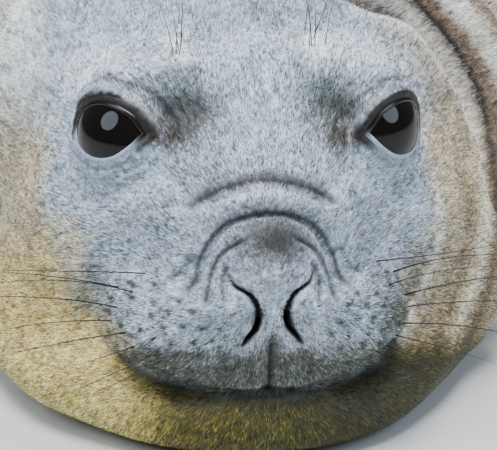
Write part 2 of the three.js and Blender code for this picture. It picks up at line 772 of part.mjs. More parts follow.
// A claw at the end of a digit, seated in the upper face of the fore flipper
const CLAW = { length: 22, radius: 3.4, sink: 0.6, hook: 5 };
const CLAW_RINGS = 4;
const CLAW_SIDES = 6;
function claw(place, digit, grow) {
  const c = -1 + (2 * digit + 1) / DIGITS;
  const end = place(1, c);
  const way = end.clone().sub(place(0.9, c));
  way.z = 0;
  way.normalize();
  const wide = new THREE.Vector3(-way.y, way.x, 0);
  const points = [];
  const ring = (t, radius) => {
    const centre = end.clone().addScaledVector(way, CLAW.length * (t - 0.55));
    centre.z = end.z + CLAW.radius * CLAW.sink + 1.4 - CLAW.hook * t * t;
    for (let k = 0; k < CLAW_SIDES; k++) {
      const a = (2 * Math.PI * k) / CLAW_SIDES;
      const p = centre.clone().addScaledVector(wide, Math.cos(a) * radius * 0.8);
      points.push([p.x, p.y, p.z + Math.sin(a) * radius]);
    }
  };
  for (let i = 0; i <= CLAW_RINGS; i++) {
    const t = i / CLAW_RINGS;
    ring(t + (i === 0 ? -grow : grow) / CLAW.length, CLAW.radius * Math.sqrt(1 - 0.93 * t * t) + grow);
  }
  const faces = [];
  for (let i = 0; i < CLAW_RINGS; i++) {
    for (let k = 0; k < CLAW_SIDES; k++) {
      const m = (k + 1) % CLAW_SIDES;
      const [a, b] = [i * CLAW_SIDES + k, i * CLAW_SIDES + m];
      const [d, e] = [a + CLAW_SIDES, b + CLAW_SIDES];
      faces.push([a, b, e], [a, e, d]);
    }
  }
  const last = CLAW_RINGS * CLAW_SIDES;
  for (let k = 1; k < CLAW_SIDES - 1; k++) {
    faces.push([0, k + 1, k], [last, last + k, last + k + 1]);
  }
  const made = solid(points, faces);
  return made.volume() < 0 ? solid(points, faces.map(([a, b, d]) => [a, d, b])) : made;
}

// Everything built, in order, as name, solid and material
const coat = (name, colour, roughness) =>
  new THREE.MeshStandardMaterial({ name, color: colour, roughness, metalness: 0 });
const COLOURS = {
  head: [0x8f999e, 0.75],
  body: [0xa3927a, 0.8],
  flipper: [0x6d675f, 0.7],
  claw: [0x2a2523, 0.35],
  eye: [0x120d0b, 0.05],
};
const built = [];

const whole = wholeBody(0);
const grown = wholeBody(GAP);
const SLAB = new THREE.BoxGeometry(1200, GAP, 1200);
let lengths = whole;
for (const at of CUTS) {
  const s = spine(at);
  const slab = SLAB.clone().rotateZ(-s.heading).translate(s.x, s.y, 0);
  lengths = lengths.subtract(solidOf(slab));
}
const along = (made) => {
  const { min, max } = made.boundingBox();
  return (min[1] + max[1]) / 2;
};
const parted = pieces(lengths)
  .slice(0, LENGTHS.length)
  .sort((a, b) => along(a) - along(b));
LENGTHS.forEach((name, i) => {
  let made = parted[i];
  if (name === "head") {
    for (const side of [-1, 1]) {
      made = made.subtract(eyeBall(side, GAP + 0.1)).subtract(eyeOpening(side)).subtract(nostril(side));
    }
    for (const crease of CREASES) {
      made = made.subtract(groove(crease, 1));
      if (crease.both) made = made.subtract(groove(crease, -1));
    }
    made = largest(made);
  }
  built.push({ name, made, look: name === "head" ? "head" : "body" });
});

for (const [side, hand] of [[1, "left"], [-1, "right"]]) {
  built.push({ name: `eye_${hand}`, made: eyeBall(side, 0), look: "eye" });
  const place = forePlace(side);
  let fore = fin(place, foreThickness, 10, 12).subtract(grown);
  for (let digit = 0; digit < DIGITS; digit++) {
    fore = fore.subtract(claw(place, digit, GAP));
    built.push({ name: `fore_claw_${hand}_${digit + 1}`, made: claw(place, digit, 0), look: "claw" });
  }
  built.push({ name: `fore_flipper_${hand}`, made: largest(fore), look: "flipper" });
  const hind = fin(hindPlace(side), hindThickness, 10, 12).subtract(grown);
  built.push({ name: `hind_flipper_${hand}`, made: largest(hind), look: "flipper" });
}

// The origin is the middle of the footprint, on the ground
const reach = { min: [Infinity, Infinity], max: [-Infinity, -Infinity] };
for (const { made } of built) {
  const box = made.boundingBox();
  for (const i of [0, 1]) {
    reach.min[i] = Math.min(reach.min[i], box.min[i]);
    reach.max[i] = Math.max(reach.max[i], box.max[i]);
  }
}
const shift = [0, 1].map((i) => -(reach.min[i] + reach.max[i]) / 2);

function meshOf(made, name, material) {
  const { vertProperties, triVerts, numProp, numVert } = made.getMesh();
  const position = new Float32Array(numVert * 3);
  for (let i = 0; i < numVert; i++) {
    position[3 * i] = vertProperties[numProp * i] + shift[0];
    position[3 * i + 1] = vertProperties[numProp * i + 1] + shift[1];
    position[3 * i + 2] = vertProperties[numProp * i + 2];
  }
  const geometry = new THREE.BufferGeometry();
  geometry.setAttribute("position", new THREE.BufferAttribute(position, 3));
  geometry.setIndex(new THREE.BufferAttribute(triVerts, 1));
  geometry.computeVertexNormals();
  const mesh = new THREE.Mesh(geometry, material);
  mesh.name = name;
  return mesh;
}

const group = new THREE.Group();
for (const { name, made, look } of built) {
  const [colour, roughness] = COLOURS[look];
  group.add(meshOf(made, name, coat(`${name}_coat`, colour, roughness)));
}

export default group;
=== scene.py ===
"""A young elephant seal lying on its belly: skin, short coat, eyes, whiskers and claws over the frame.

The body's shape is worked out in millimetres with the nose near the origin, the face towards -Y and
+Z up, and is moved into the row frame, in metres, when a mesh is made.
"""

import math

import bpy
import numpy as np
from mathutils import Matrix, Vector


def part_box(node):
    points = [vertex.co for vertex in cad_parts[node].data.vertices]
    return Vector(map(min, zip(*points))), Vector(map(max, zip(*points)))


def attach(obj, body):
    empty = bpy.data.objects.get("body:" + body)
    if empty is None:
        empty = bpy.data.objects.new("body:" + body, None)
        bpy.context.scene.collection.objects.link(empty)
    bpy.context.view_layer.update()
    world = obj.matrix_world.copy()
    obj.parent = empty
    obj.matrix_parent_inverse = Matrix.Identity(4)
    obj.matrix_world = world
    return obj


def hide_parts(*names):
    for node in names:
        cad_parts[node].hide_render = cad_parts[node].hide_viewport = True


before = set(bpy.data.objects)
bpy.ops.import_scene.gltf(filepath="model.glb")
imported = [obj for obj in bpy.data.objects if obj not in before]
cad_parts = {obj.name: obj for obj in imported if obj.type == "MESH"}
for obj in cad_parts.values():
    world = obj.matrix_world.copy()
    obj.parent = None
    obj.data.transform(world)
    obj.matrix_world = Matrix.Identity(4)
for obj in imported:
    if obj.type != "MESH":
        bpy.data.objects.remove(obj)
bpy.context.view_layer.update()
rng = np.random.default_rng(11)

# Main sizes, in millimetres
TAIL_TIP = 1500
HEAD_Y, HEAD_Z = 135, 95
GROUND_BLEND = 14
FACE_TILT = 20
EYE = {"x": 56, "y": 95, "z": 136, "radius": 26.3, "yaw": 38, "pitch": 15, "lid": 2.0, "blend": 7}
R = EYE["radius"]
COAT_DEPTH = 1.0
FACE_CELLS, RING_STEP, FIN_CELLS = ((350, 7, 64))
FACE_CROWDING = 1.3
LAST_RING = TAIL_TIP - 30

# The row frame's place of the nose, from the eyes' nodes
eye_boxes = [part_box("eye_left"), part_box("eye_right")]
eye_middle = np.mean([np.add(low, high) / 2 for low, high in eye_boxes], axis=0)
SHIFT = np.array([eye_middle[0], eye_middle[1] - EYE["y"] / 1000, 0.0])


def to_row(p):
    return np.asarray(p, float) / 1000 + SHIFT


def smooth(low, high, x):
    t = np.clip((x - low) / (high - low), 0, 1)
    return t * t * (3 - 2 * t)


def bell(x, width):
    return np.exp(-((x / width) ** 2))


def mix(a, b, t):
    t = np.asarray(t)[:, None]
    return np.asarray(a) * (1 - t) + np.asarray(b) * t


def lattice(ix, iy, iz, seed):
    n = (ix * 73856093) ^ (iy * 19349663) ^ (iz * 83492791) ^ (seed * 2654435761)
    n = (n ^ (n >> 13)) * 1274126177
    return ((n ^ (n >> 16)) & 0xFFFF) / 65535.0


def noise(p, scale, seed=0):
    """Smooth noise from 0 to 1 over space. scale is its grain in the units of p."""
    q = np.asarray(p, float) / scale
    i = np.floor(q).astype(np.int64)
    f = q - i
    f = f * f * (3 - 2 * f)
    total = 0
    for step in np.ndindex(2, 2, 2):
        weight = np.prod(np.where(step, f, 1 - f), axis=1)
        total = total + weight * lattice(*(i + step).T, seed)
    return total


# Shape: the spine, the masses joined along it, and the distance to their surface
HEADINGS = [(0, 0), (135, 0), (430, 30), (760, 38), (1150, 26), (1500, 8)]
HEIGHTS = [(0, 95), (135, 95), (200, 100), (430, 135), (760, 145), (1070, 105), (1300, 62), (1500, 26)]
SPINE_STEP = 5


def between(table, at):
    """A table's value at each place, eased from row to row."""
    t = np.array(table, float)
    i = np.clip(np.searchsorted(t[:, 0], at), 1, len(t) - 1)
    return t[i - 1, 1] + (t[i, 1] - t[i - 1, 1]) * smooth(t[i - 1, 0], t[i, 0], at)


def spine_plan():
    plan = [(0.0, float(HEAD_Y))]
    at = HEAD_Y
    while at < TAIL_TIP + SPINE_STEP:
        heading = math.radians(between(HEADINGS, at))
        x, y = plan[-1]
        plan.append((x + math.sin(heading) * SPINE_STEP, y + math.cos(heading) * SPINE_STEP))
        at += SPINE_STEP
    return np.array(plan)


PLAN = spine_plan()


def spine(at):
    """x, y, z and heading of the spine at a distance from the nose."""
    if at <= HEAD_Y:
        return 0.0, at, between(HEIGHTS, at), 0.0
    step = min((at - HEAD_Y) / SPINE_STEP, len(PLAN) - 2)
    i = int(step)
    x, y = PLAN[i] + (PLAN[i + 1] - PLAN[i]) * (step - i)
    return x, y, between(HEIGHTS, at), math.radians(between(HEADINGS, at))


# name, centre, radii, pitch, blend, mirrored pair
HEAD_MASSES = [
    ("cranium", (0, 175, 114), (103, 97, 88), 0, 26, False),
    ("forehead", (0, 99, 122), (60, 68, 45), -28, 26, False),
    ("muzzle", (0, 70, 81), (53, 70, 49), -12, 24, False),
    ("nose", (0, 39, 98), (28, 20, 31), 0, 16, False),
    ("whisker_pad", (34, 53, 57), (37, 38, 22), 0, 16, True),
    ("upper_lip", (0, 53, 38), (46, 43, 19), 0, 12, False),
    ("chin", (0, 64, 12), (72, 56, 25), 0, 14, False),
    ("cheek", (60, 136, 78), (55, 70, 49), 0, 26, True),
    ("throat", (-6, 112, 18), (112, 94, 35), 0, 20, False),
    ("jowl", (60, 152, 34), (70, 68, 48), 0, 24, True),
    ("side_roll", (86, 156, 56), (54, 50, 56), 0, 30, False),
    ("brow", (34, 102, 146), (45, 21, 28), 0, 18, True),
]
# name, distance from the nose, radii, height of the centre, blend
BODY_MASSES = [
    ("collar", 225, (146, 95, 112), 98, 30),
    ("neck", 300, (158, 150, 134), 122, 50),
    ("shoulders", 450, (200, 190, 168), 148, 60),
    ("chest", 660, (222, 240, 182), 158, 60),
    ("belly", 870, (205, 250, 168), 144, 60),
    ("loin", 1070, (158, 230, 130), 112, 60),
    ("hips", 1255, (108, 180, 88), 78, 50),
    ("tail_root", 1385, (60, 110, 48), 46, 40),
    ("tail", 1450, (30, 62, 17), 24, 24),
]


def all_masses():
    made = []
    for _, centre, radii, pitch, blend, pair in HEAD_MASSES:
        for side in (1, -1) if pair else (1,):
            place = (centre[0] * side, centre[1], centre[2])
            made.append((place, radii, 0.0, math.radians(pitch), blend))
    lid = R + EYE["lid"]
    for side in (-1, 1):
        made.append(((side * EYE["x"], EYE["y"], EYE["z"]), (lid, lid, lid), 0.0, 0.0, EYE["blend"]))
    for _, at, radii, z, blend in BODY_MASSES:
        x, y, _, heading = spine(at)
        made.append(((x, y, z), radii, heading, 0.0, blend))
    return made


MASSES = all_masses()


def ellipsoid(mass, p):
    centre, radii, yaw, pitch, _ = mass
    d = p - np.array(centre)
    across = d[:, 0] * math.cos(yaw) - d[:, 1] * math.sin(yaw)
    along = d[:, 0] * math.sin(yaw) + d[:, 1] * math.cos(yaw)
    back = along * math.cos(pitch) - d[:, 2] * math.sin(pitch)
    up = along * math.sin(pitch) + d[:, 2] * math.cos(pitch)
    a, b, c = radii
    near = np.sqrt((across / a) ** 2 + (back / b) ** 2 + (up / c) ** 2)
    slope = np.sqrt((across / a**2) ** 2 + (back / b**2) ** 2 + (up / c**2) ** 2)
    return near * (near - 1) / np.maximum(slope, 1e-9)


def join(a, b, k):
    h = np.maximum(k - np.abs(a - b), 0) / k
    return np.minimum(a, b) - h * h * k / 4


def distance(p):
    d = np.full(len(p), 1e6)
    for mass in MASSES:
        d = join(d, ellipsoid(mass, p), mass[4])
    return -join(-d, p[:, 2], GROUND_BLEND)


FARTHEST, CAST_STEPS = 400, 32


def cast(origins, directions):
    """The outermost surface point along each ray."""
    n = len(origins)
    high = np.full(n, float(FARTHEST))
    low = np.zeros(n)
    todo = np.arange(n)
    for i in range(CAST_STEPS - 1, 0, -1):
        t = FARTHEST * i / CAST_STEPS
        inside = distance(origins[todo] + directions[todo] * t) < 0
        low[todo[inside]] = t
        high[todo[~inside]] = t
        todo = todo[~inside]
        if not len(todo):
            break
    t = (low + high) / 2
    for _ in range(7):
        d = distance(origins + directions * t[:, None])
        low = np.where(d < 0, t, low)
        high = np.where(d < 0, high, t)
        t = t - d
        out = (t <= low) | (t >= high)
        t = np.where(out, (low + high) / 2, t)
    return origins + directions * t[:, None]


def normals_of(p, e=1.5):
    g = np.zeros_like(p)
    for i in range(3):
        o = np.zeros(3)
        o[i] = e
        g[:, i] = distance(p + o) - distance(p - o)
    return g / np.maximum(np.linalg.norm(g, axis=1, keepdims=True), 1e-9)


# The face: features are lines on a plane that leans back, x across and h up the plane
FS, FC = math.sin(math.radians(FACE_TILT)), math.cos(math.radians(FACE_TILT))


def face_place(p):
    return p[:, 0], p[:, 1] * FS + p[:, 2] * FC, p[:, 1] * FC - p[:, 2] * FS


def curve(points, per=8, closed=False):
    """A smooth line through the points."""
    p = np.array(points, float)
    e = np.vstack([p[-1], p, p[:2]]) if closed else np.vstack([p[0], p, p[-1]])
    made = []
    for a, b, c, d in zip(e, e[1:], e[2:], e[3:]):
        v0, v1 = (c - a) / 2, (d - b) / 2
        for t in np.arange(per) / per:
            bend = (2 * b - 2 * c + v0 + v1) * t**3 + (-3 * b + 3 * c - 2 * v0 - v1) * t**2
            made.append(bend + v0 * t + b)
    return np.array(made if closed else made + [p[-1]])


def both_sides(half):
    """A line right across the face, from its half that ends in the middle."""
    return half + [(-x, h) for x, h in half[-2::-1]]


def to_line(line, x, h):
    """Distance to a line, the share of the way along it, and which side."""
    last = len(line) - 1
    best = np.full(len(x), 1e9)
    share = np.zeros(len(x))
    side = np.ones(len(x))
    for i in range(last):
        a = line[i]
        u = line[i + 1] - a
        t = np.clip(((x - a[0]) * u[0] + (h - a[1]) * u[1]) / (u @ u), 0, 1)
        d = np.hypot(x - a[0] - u[0] * t, h - a[1] - u[1] * t)
        s = np.where(u[0] * (h - a[1]) - u[1] * (x - a[0]) > 0, 1.0, -1.0)
        near = d < best
        best = np.where(near, d, best)
        share = np.where(near, (i + t) / last, share)
        side = np.where(near, s, side)
    return best, share, side


# name, line, depth, reach above, reach below, mirrored pair, as deep at its ends, and the width and
# strength of the painted shade along its line
CREASES = [
    (
        "bridge_fold", both_sides([(-35, 123), (-27, 129), (-15, 133.6), (0, 136)]),
        9, 9, 2.4, False, False, 2.0, 0.9,
    ),
    (
        "nose_arch",
        both_sides([
            (-41, 81.5), (-37, 86.5), (-33, 92), (-31, 99.5), (-27, 108), (-20.5, 115.2), (-12, 119),
            (0, 120.7),
        ]),
        6, 5, 2.2, False, False, 1.4, 0.8,
    ),
    (
        "inner_arch", [(9, 110), (19.5, 104.6), (23.7, 100.5), (26.7, 93), (29, 84), (30, 79)],
        3.4, 2.4, 1.6, True, False, 1.1, 0.7,
    ),
    (
        "nostril_crease", [(19, 97.5), (21.5, 93), (22.3, 87), (21.5, 80)],
        2.6, 1.6, 1.6, True, False, 0.8, 0.6,
    ),
    ("outer_arch", [(35, 104), (38, 97), (43, 93), (47, 92)], 2.4, 3, 2, True, False, 1.0, 0.5),
    ("philtrum", [(0, 62), (0, 50), (0, 37)], 4, 1.8, 1.8, False, True, 1.0, 0.75),
    (
        "pad_edge", [(74, 80), (71, 69), (64, 60.5), (52, 52), (42, 48.6), (28, 48.3), (13, 51.4), (4, 56)],
        2.2, 3.4, 2, True, False, 1.0, 0,
    ),
    (
        "mouth", both_sides([(-76, 70), (-70, 60.5), (-57, 49), (-40, 41), (-20, 36.8), (0, 35.6)]),
        9, 2.6, 4.2, False, False, 1.0, 0,
    ),
]
LINE = {c[0]: curve(c[1]) for c in CREASES}
NOSTRIL_LINE = curve([
    (19.5, 93), (17.5, 88.5), (13, 85.5), (9.3, 82.5), (7, 77.5), (6.6, 72.5), (8.2, 67.5), (11.5, 63.5),
    (14, 60.3),
])
NOSTRIL_HALF, NOSTRIL_DEPTH = 1.25, 13


def nostril_off(x, h):
    """Distance from the edge of the tapering slit, negative inside, and the share of the way along it."""
    d, share, _ = to_line(NOSTRIL_LINE, np.abs(x), h)
    return d - NOSTRIL_HALF * (0.15 + bell(share - 0.64, 0.26)), share


# name, place, reach, turn, lift
SWELLS = [
    ("eye_hollow", (31, 174), (11, 10), -35, -4.5),
    ("brow_ridge", (62, 184), (22, 6), -12, 4),
    ("under_eye", (70, 137), (22, 6), 8, -1.5),
    ("cheek_rise", (52, 128), (18, 12), 20, 3),
    ("pad", (42, 72), (22, 17), 14, 5),
    ("pad_step", (77, 84), (6, 18), 12, -5),
    ("nose_ball", (0, 100), (17, 15), 0, 5),
]

# Whisker pits in rows over each pad, outwards from the nose
PIT_ROWS = [
    [(50, 88.5), (60, 90)],
    [(42, 82), (52, 82), (61, 83), (69, 84)],
    [(36, 76), (45, 76), (54, 76), (63, 77), (71, 78)],
    [(31, 70), (40, 69.5), (49, 69.5), (58, 70), (66, 72)],
    [(27, 64), (36, 63), (45, 63), (54, 64), (62, 66)],
    [(33, 58), (42, 58), (51, 59)],
]
PITS = np.array([spot for row in PIT_ROWS for spot in row], float)
PITS += np.random.default_rng(5).uniform(-0.9, 0.9, PITS.shape)


def to_pits(x, h):
    """Distance to the nearest whisker pit."""
    best = np.full(len(x), 1e9)
    for px, ph in PITS:
        best = np.minimum(best, np.hypot(np.abs(x) - px, h - ph))
    return best


# The eyes: an opening drawn across the way each looks, u away from the nose and v up. The head is
# held a little askew, so that the openings' heights differ
OPENING = [
    (-19.2, 2.5), (-15.8, 7), (-11, 11), (-3.5, 13.6), (4, 14.4), (11, 13.2), (17.5, 9.5), (21.6, 4),
    (22.6, -1), (21, -7), (15.5, -12), (7.5, -15), (-1, -14.9), (-8, -12.2), (-13.8, -7.2), (-17.8, -1.5),
]
RIM = curve(OPENING, 6, closed=True)
ASKEW = 1.9
INNER_CORNER = (-23, 2)


def eye_axes(side):
    """Centre, the axis away from the nose, the axis up, and the way the eye looks."""
    yaw, pitch = math.radians(EYE["yaw"]), math.radians(EYE["pitch"])
    level = math.cos(pitch)
    look = np.array([side * math.sin(yaw) * level, -math.cos(yaw) * level, math.sin(pitch)])
    away = np.array([side * math.cos(yaw), math.sin(yaw), 0.0])
    up = np.cross(look, away) * side
    return np.array([side * EYE["x"], EYE["y"], EYE["z"]]), away, up, look


def eye_place(p, side):
    """u, v on the ball under each point, its distance from the centre, and how far ahead it is."""
    centre, away, up, look = eye_axes(side)
    d = p - centre
    far = np.linalg.norm(d, axis=1)
    ball = R * d / np.maximum(far, 1e-6)[:, None]
    return ball @ away, ball @ up, far, ball @ look


def near_eyes(p, reach, least):
    """For each eye: its side, the points near it, and their u, v and distance from its centre."""
    for side in (-1, 1):
        u, v, far, ahead = eye_place(p, side)
        near = (far < reach) & (ahead > least)
        if near.any():
            yield side, near, u[near], v[near], far[near]


def off_rim(u, v, side):
    """Distance outside the opening's edge, negative inside."""
    v = v + side * ASKEW
    loop = np.vstack([RIM, RIM[:1]])
    best, _, _ = to_line(loop, u, v)
    inside = np.zeros(len(u), bool)
    for (ua, va), (ub, vb) in zip(loop[:-1], loop[1:]):
        crosses = (va > v) != (vb > v)
        slope = (ub - ua) / (vb - va) if vb != va else 0.0
        inside ^= crosses & (u < ua + (v - va) * slope)
    return np.where(inside, -best, best)


def lid_relief(p):
    """Wrinkles and the fold of the lids round both eyes."""
    relief = np.zeros(len(p))
    for side, near, u, v, far in near_eyes(p, R * 2.1, -4):
        off = off_rim(u, v, side) + np.maximum(far - R - 3, 0) * 0.8
        wave = noise(p[near], 7.0, 3) * 2.4
        ripple = np.sin(2 * math.pi * (off + wave) / 3.4) * 0.42 * bell(off - 6, 8)
        fold = -1.9 * np.exp(-np.abs(off - 7.5 - wave) / 1.7) * smooth(-6, 4, v)
        under = -0.7 * np.exp(-np.abs(off - 9 - wave) / 1.8) * smooth(4, -5, v)
        relief[near] += ripple + fold + under
    return relief


def face_relief(p):
    """Creases, swells, nostrils and whisker pits."""
    x, h, depth = face_place(p)
    facing = 1 - smooth(110, 150, depth)
    relief = np.zeros(len(p))
    on = facing > 0
    xo, ho = x[on], h[on]
    r = np.zeros(on.sum())
    wave = (noise(p[on], 9.0, 1) - 0.5) * 1.6
    for name, _, deep, above, below, pair, held, _, _ in CREASES:
        d, share, side = to_line(LINE[name], np.abs(xo) if pair else xo, ho + wave)
        width = np.where(side > 0, above, below)
        fade = 1.0 if held else smooth(0, 0.12, share) * smooth(0, 0.12, 1 - share)
        off = np.hypot(d, 0.35) - 0.35
        r -= deep * fade * np.exp(-off / width)
    for _, (cx, ch), (su, sv), turn, lift in SWELLS:
        a = math.radians(turn)
        dx, dh = np.abs(xo) - cx, ho - ch
        along, over = dx * math.cos(a) + dh * math.sin(a), dh * math.cos(a) - dx * math.sin(a)
        r += lift * bell(along, su) * bell(over, sv)
    # the roll under the bridge fold swells out
    r += 2.2 * bell(xo, 34) * bell(ho - 128 + xo**2 / 150, 5)
    d, share = nostril_off(xo, ho)
    opening = smooth(0.8, -0.8, d)
    r -= NOSTRIL_DEPTH * opening * (0.3 + 0.7 * smooth(0, 0.4, share)) * smooth(0, 0.12, 1 - share)
    # the wing outside the slit is a plump ball
    r += 4.2 * bell(np.abs(xo) - 16.5, 7) * bell(ho - 74.5, 9.5) * smooth(0, 3, d)
    pit = to_pits(xo, ho)
    r -= 1.3 * bell(pit, 1.0)
    r += 0.35 * bell(pit - 2.4, 1.2)
    relief[on] = r * facing[on]
    return relief


# Folds of the neck: how far back each runs at a turn, where 0 is the seal's left and 90 the top
# line, turn where it is deepest, spread, depth, reach before and behind
COLLAR_FOLD = (
    [(-60, 150), (-20, 134), (-5, 136), (9, 152), (22, 156), (38, 156), (56, 148), (90, 142), (180, 150)],
    32, 58, 21, 6, 10,
)
SECOND_FOLD = ([(-60, 196), (22, 204), (56, 198), (180, 205)], 30, 60, 9, 12, 14)


def from_turn(turn, centre, spread):
    """1 at a turn, falling to 0 away from it."""
    return bell((turn - centre + 540) % 360 - 180, spread)


def fold_relief(p, turn):
    relief = np.zeros(len(p))
    wave = (noise(p, 40.0, 9) - 0.5) * 4
    for line, centre, spread, deep, before, behind in (COLLAR_FOLD, SECOND_FOLD):
        past = p[:, 1] + wave - between(line, turn)
        along = np.abs(past) / np.where(past < 0, before, behind)
        swell = 0.3 * (bell(past - 24, 10) + 0.5 * bell(past + 15, 8))
        relief += deep * from_turn(turn, centre, spread) * (swell - np.exp(-(along**1.15)))
    return relief


def soft_lumps(p):
    """The slight unevenness of fat under the skin."""
    lump = (noise(p, 55.0, 21) - 0.5) * 2.2 + (noise(p, 22.0, 22) - 0.5) * 0.9
    return lump * smooth(10, 60, p[:, 2])


def skin_points(origins, directions, turn):
    """The skin with all its relief, over each eyeball, and behind it within the opening."""
    p = cast(origins, directions)
    lift = face_relief(p) + fold_relief(p, turn) + lid_relief(p) + soft_lumps(p) - COAT_DEPTH
    q = p + normals_of(p) * lift[:, None]
    for side, near, u, v, far in near_eyes(q, R + 14, 0):
        off = off_rim(u, v, side)
        centre = eye_axes(side)[0]
        out = (q[near] - centre) / far[:, None]
        far = np.maximum(far, R + 1.2 * smooth(0.6, 3, off))
        far += (R - 3 - far) * smooth(1.6, 0.2, off)
        q[near] = centre + out * far[:, None]
    q[:, 2] = np.maximum(q[:, 2], 0)
    return q


def face_dirs(n):
    s = np.linspace(-1, 1, n + 1)
    a, b = np.meshgrid(s, s)
    a, b = a.ravel(), b.ravel()
    u = a * np.sqrt(1 - b * b / 2)
    v = b * np.sqrt(1 - a * a / 2)
    out = np.minimum(1, np.hypot(u, v))
    turn = np.arctan2(v, u)
    polar = np.pi / 2 * out**FACE_CROWDING
    d = np.stack([np.sin(polar) * np.cos(turn), -np.cos(polar), np.sin(polar) * np.sin(turn)], 1)
    return d, turn, u, v


def edge_order(n):
    """The face grid's edge points, once round."""
    idx = [(i, 0) for i in range(n)] + [(n, j) for j in range(n)]
    idx += [(i, n) for i in range(n, 0, -1)] + [(0, j) for j in range(n, 0, -1)]
    idx = np.array(idx)
    return idx[:, 1] * (n + 1) + idx[:, 0]


# The unwrap: the face is a disc in the left of the map, the body a strip in the right, and the
# flippers lie beyond it
FACE_UV = (0.245, 0.5, 0.235)
BODY_UV = (0.5, 0.01, 0.33, 0.98)
FLIPPER_UV = (0.84, 0.15)
# Rings past these distances have half as many points as those before
FIRST_HALVING, SECOND_HALVING = 147, 185
TAIL_STEPS = 8


def ring_rays(station, turns, swing):
    """Rays out of the spine for a ring: origins, ways, distance, turn and swing, which leans them back."""
    x, y, z, heading = spine(station)
    across, back = np.cos(turns) * math.cos(swing), math.sin(swing)
    ways = [
        across * math.cos(heading) + back * math.sin(heading),
        back * math.cos(heading) - across * math.sin(heading),
        np.sin(turns) * math.cos(swing),
    ]
    n = len(turns)
    origins = np.tile([x, y, z], (n, 1))
    return origins, np.stack(ways, 1), np.full(n, float(station)), np.degrees(turns), np.full(n, swing)


def whole_skin(n):
    """Points, faces, UV of each point, and the distance and turn each point was made at."""
    d, turn, u, v = face_dirs(n)
    count = face = len(d)
    k = (np.arange(n)[:, None] * (n + 1) + np.arange(n)).ravel()
    quads = [np.stack([k, k + 1, k + n + 2, k + n + 1], 1)]
    tris = []
    ring = edge_order(n)
    ring_turn = turn[ring]
    middle = np.tile([0.0, HEAD_Y, HEAD_Z], (face, 1))
    rays = [(middle, d, np.full(face, float(HEAD_Y)), np.degrees(turn), np.zeros(face))]
    plan = []
    station = float(HEAD_Y)
    while station < LAST_RING:
        station = min(LAST_RING, station + min(RING_STEP, 0.9 + (station - HEAD_Y) * 0.035))
        plan.append((station, 0.0))
    plan += [(LAST_RING, math.pi / 2 * step / TAIL_STEPS) for step in range(1, TAIL_STEPS)]
    for station, swing in plan:
        wanted = n * (4 if station < FIRST_HALVING else 2 if station < SECOND_HALVING else 1)
        if len(ring_turn) > wanted:
            ring_turn = ring_turn[::2]
            new = count + np.arange(len(ring_turn))
            a, b = ring[0::2], ring[1::2]
            c, w = np.roll(a, -1), np.roll(new, -1)
            tris += [np.stack([b, a, new], 1), np.stack([b, new, w], 1), np.stack([c, b, w], 1)]
        else:
            new = count + np.arange(len(ring_turn))
            quads.append(np.stack([np.roll(ring, -1), ring, new, np.roll(new, -1)], 1))
        ring = new
        count += len(new)
        rays.append(ring_rays(station, ring_turn, swing))
    rays.append(ring_rays(LAST_RING, np.zeros(1), math.pi / 2))
    tris.append(np.stack([ring, np.full(len(ring), count), np.roll(ring, -1)], 1))
    origins, ways, at, turn, swing = (np.concatenate(part) for part in zip(*rays))
    share = (at - HEAD_Y + swing * 30)[face:] / (LAST_RING - HEAD_Y + 50)
    face_uv = np.stack([FACE_UV[0] + u * FACE_UV[2], FACE_UV[1] + v * FACE_UV[2] * 2], 1)
    round_body = (turn[face:] + 180) / 360
    body_uv = np.stack([BODY_UV[0] + round_body * BODY_UV[2], BODY_UV[1] + share * BODY_UV[3]], 1)
    return skin_points(origins, ways, turn), quads, tris, np.vstack([face_uv, body_uv]), at, turn


# Flippers: thick fins whose roots flare into the body
DIGITS = 5
FORE = {
    "at": 500, "inset": 138, "length": 300, "width": 104, "splay": 40, "root": 92, "thick": (44, 15),
    "lift": 8.5,
}
HIND = {
    "at": 1392, "inset": 30, "length": 330, "splay": 15, "half": (34, 88), "root": 38, "thick": (40, 10),
    "lift": 7,
}


def digit_gap(c):
    """1 between digits, 0 along each."""
    return 0.5 + 0.5 * np.cos(math.pi * DIGITS * (c + 1))


def round_edge(c):
    return np.sqrt(np.maximum(0, 1 - np.abs(c) ** 2.6))


def beside(at, side):
    x, y, _, heading = spine(at)
    out = np.array([math.cos(heading), -math.sin(heading), 0.0]) * side
    back = np.array([math.sin(heading), math.cos(heading), 0.0])
    return out, back, np.array([x, y, 0.0])


def fore_place(side):
    out, back, origin = beside(FORE["at"], side)

    def place(s, c):
        splay = math.radians(FORE["splay"]) * (1 - 0.45 * s)
        way = np.outer(np.cos(splay), back) + np.outer(np.sin(splay), out)
        wide = np.outer(np.sin(splay), back) - np.outer(np.cos(splay), out)
        half = FORE["width"] * (0.4 + 0.1 * np.sin(np.pi * np.minimum(1, s * 1.15)))
        oblique = 1 - 0.17 * smooth(-1, 1, c) * s - 0.03 * digit_gap(c) * smooth(0.7, 1, s)
        rounded = 1 - 0.1 * np.abs(c) ** 4 * s
        drop = smooth(0, 0.62, s)
        tilt = math.radians(48) * (1 - drop)
        p = origin + out * FORE["inset"] + way * (s * FORE["length"] * oblique * rounded)[:, None]
        p = p + wide * (c * half * np.cos(tilt))[:, None]
        p[:, 2] = FORE["root"] + (FORE["lift"] - FORE["root"]) * drop - c * half * np.sin(tilt) * 0.6
        return p

    def thickness(s, c):
        whole = FORE["thick"][0] + (FORE["thick"][1] - FORE["thick"][0]) * smooth(0.1, 0.75, s)
        ridges = 1 - 0.14 * digit_gap(c) * smooth(0.45, 0.8, s)
        return whole * round_edge(c) * ridges * (1 - 0.35 * smooth(0.85, 1, s))

    return place, thickness


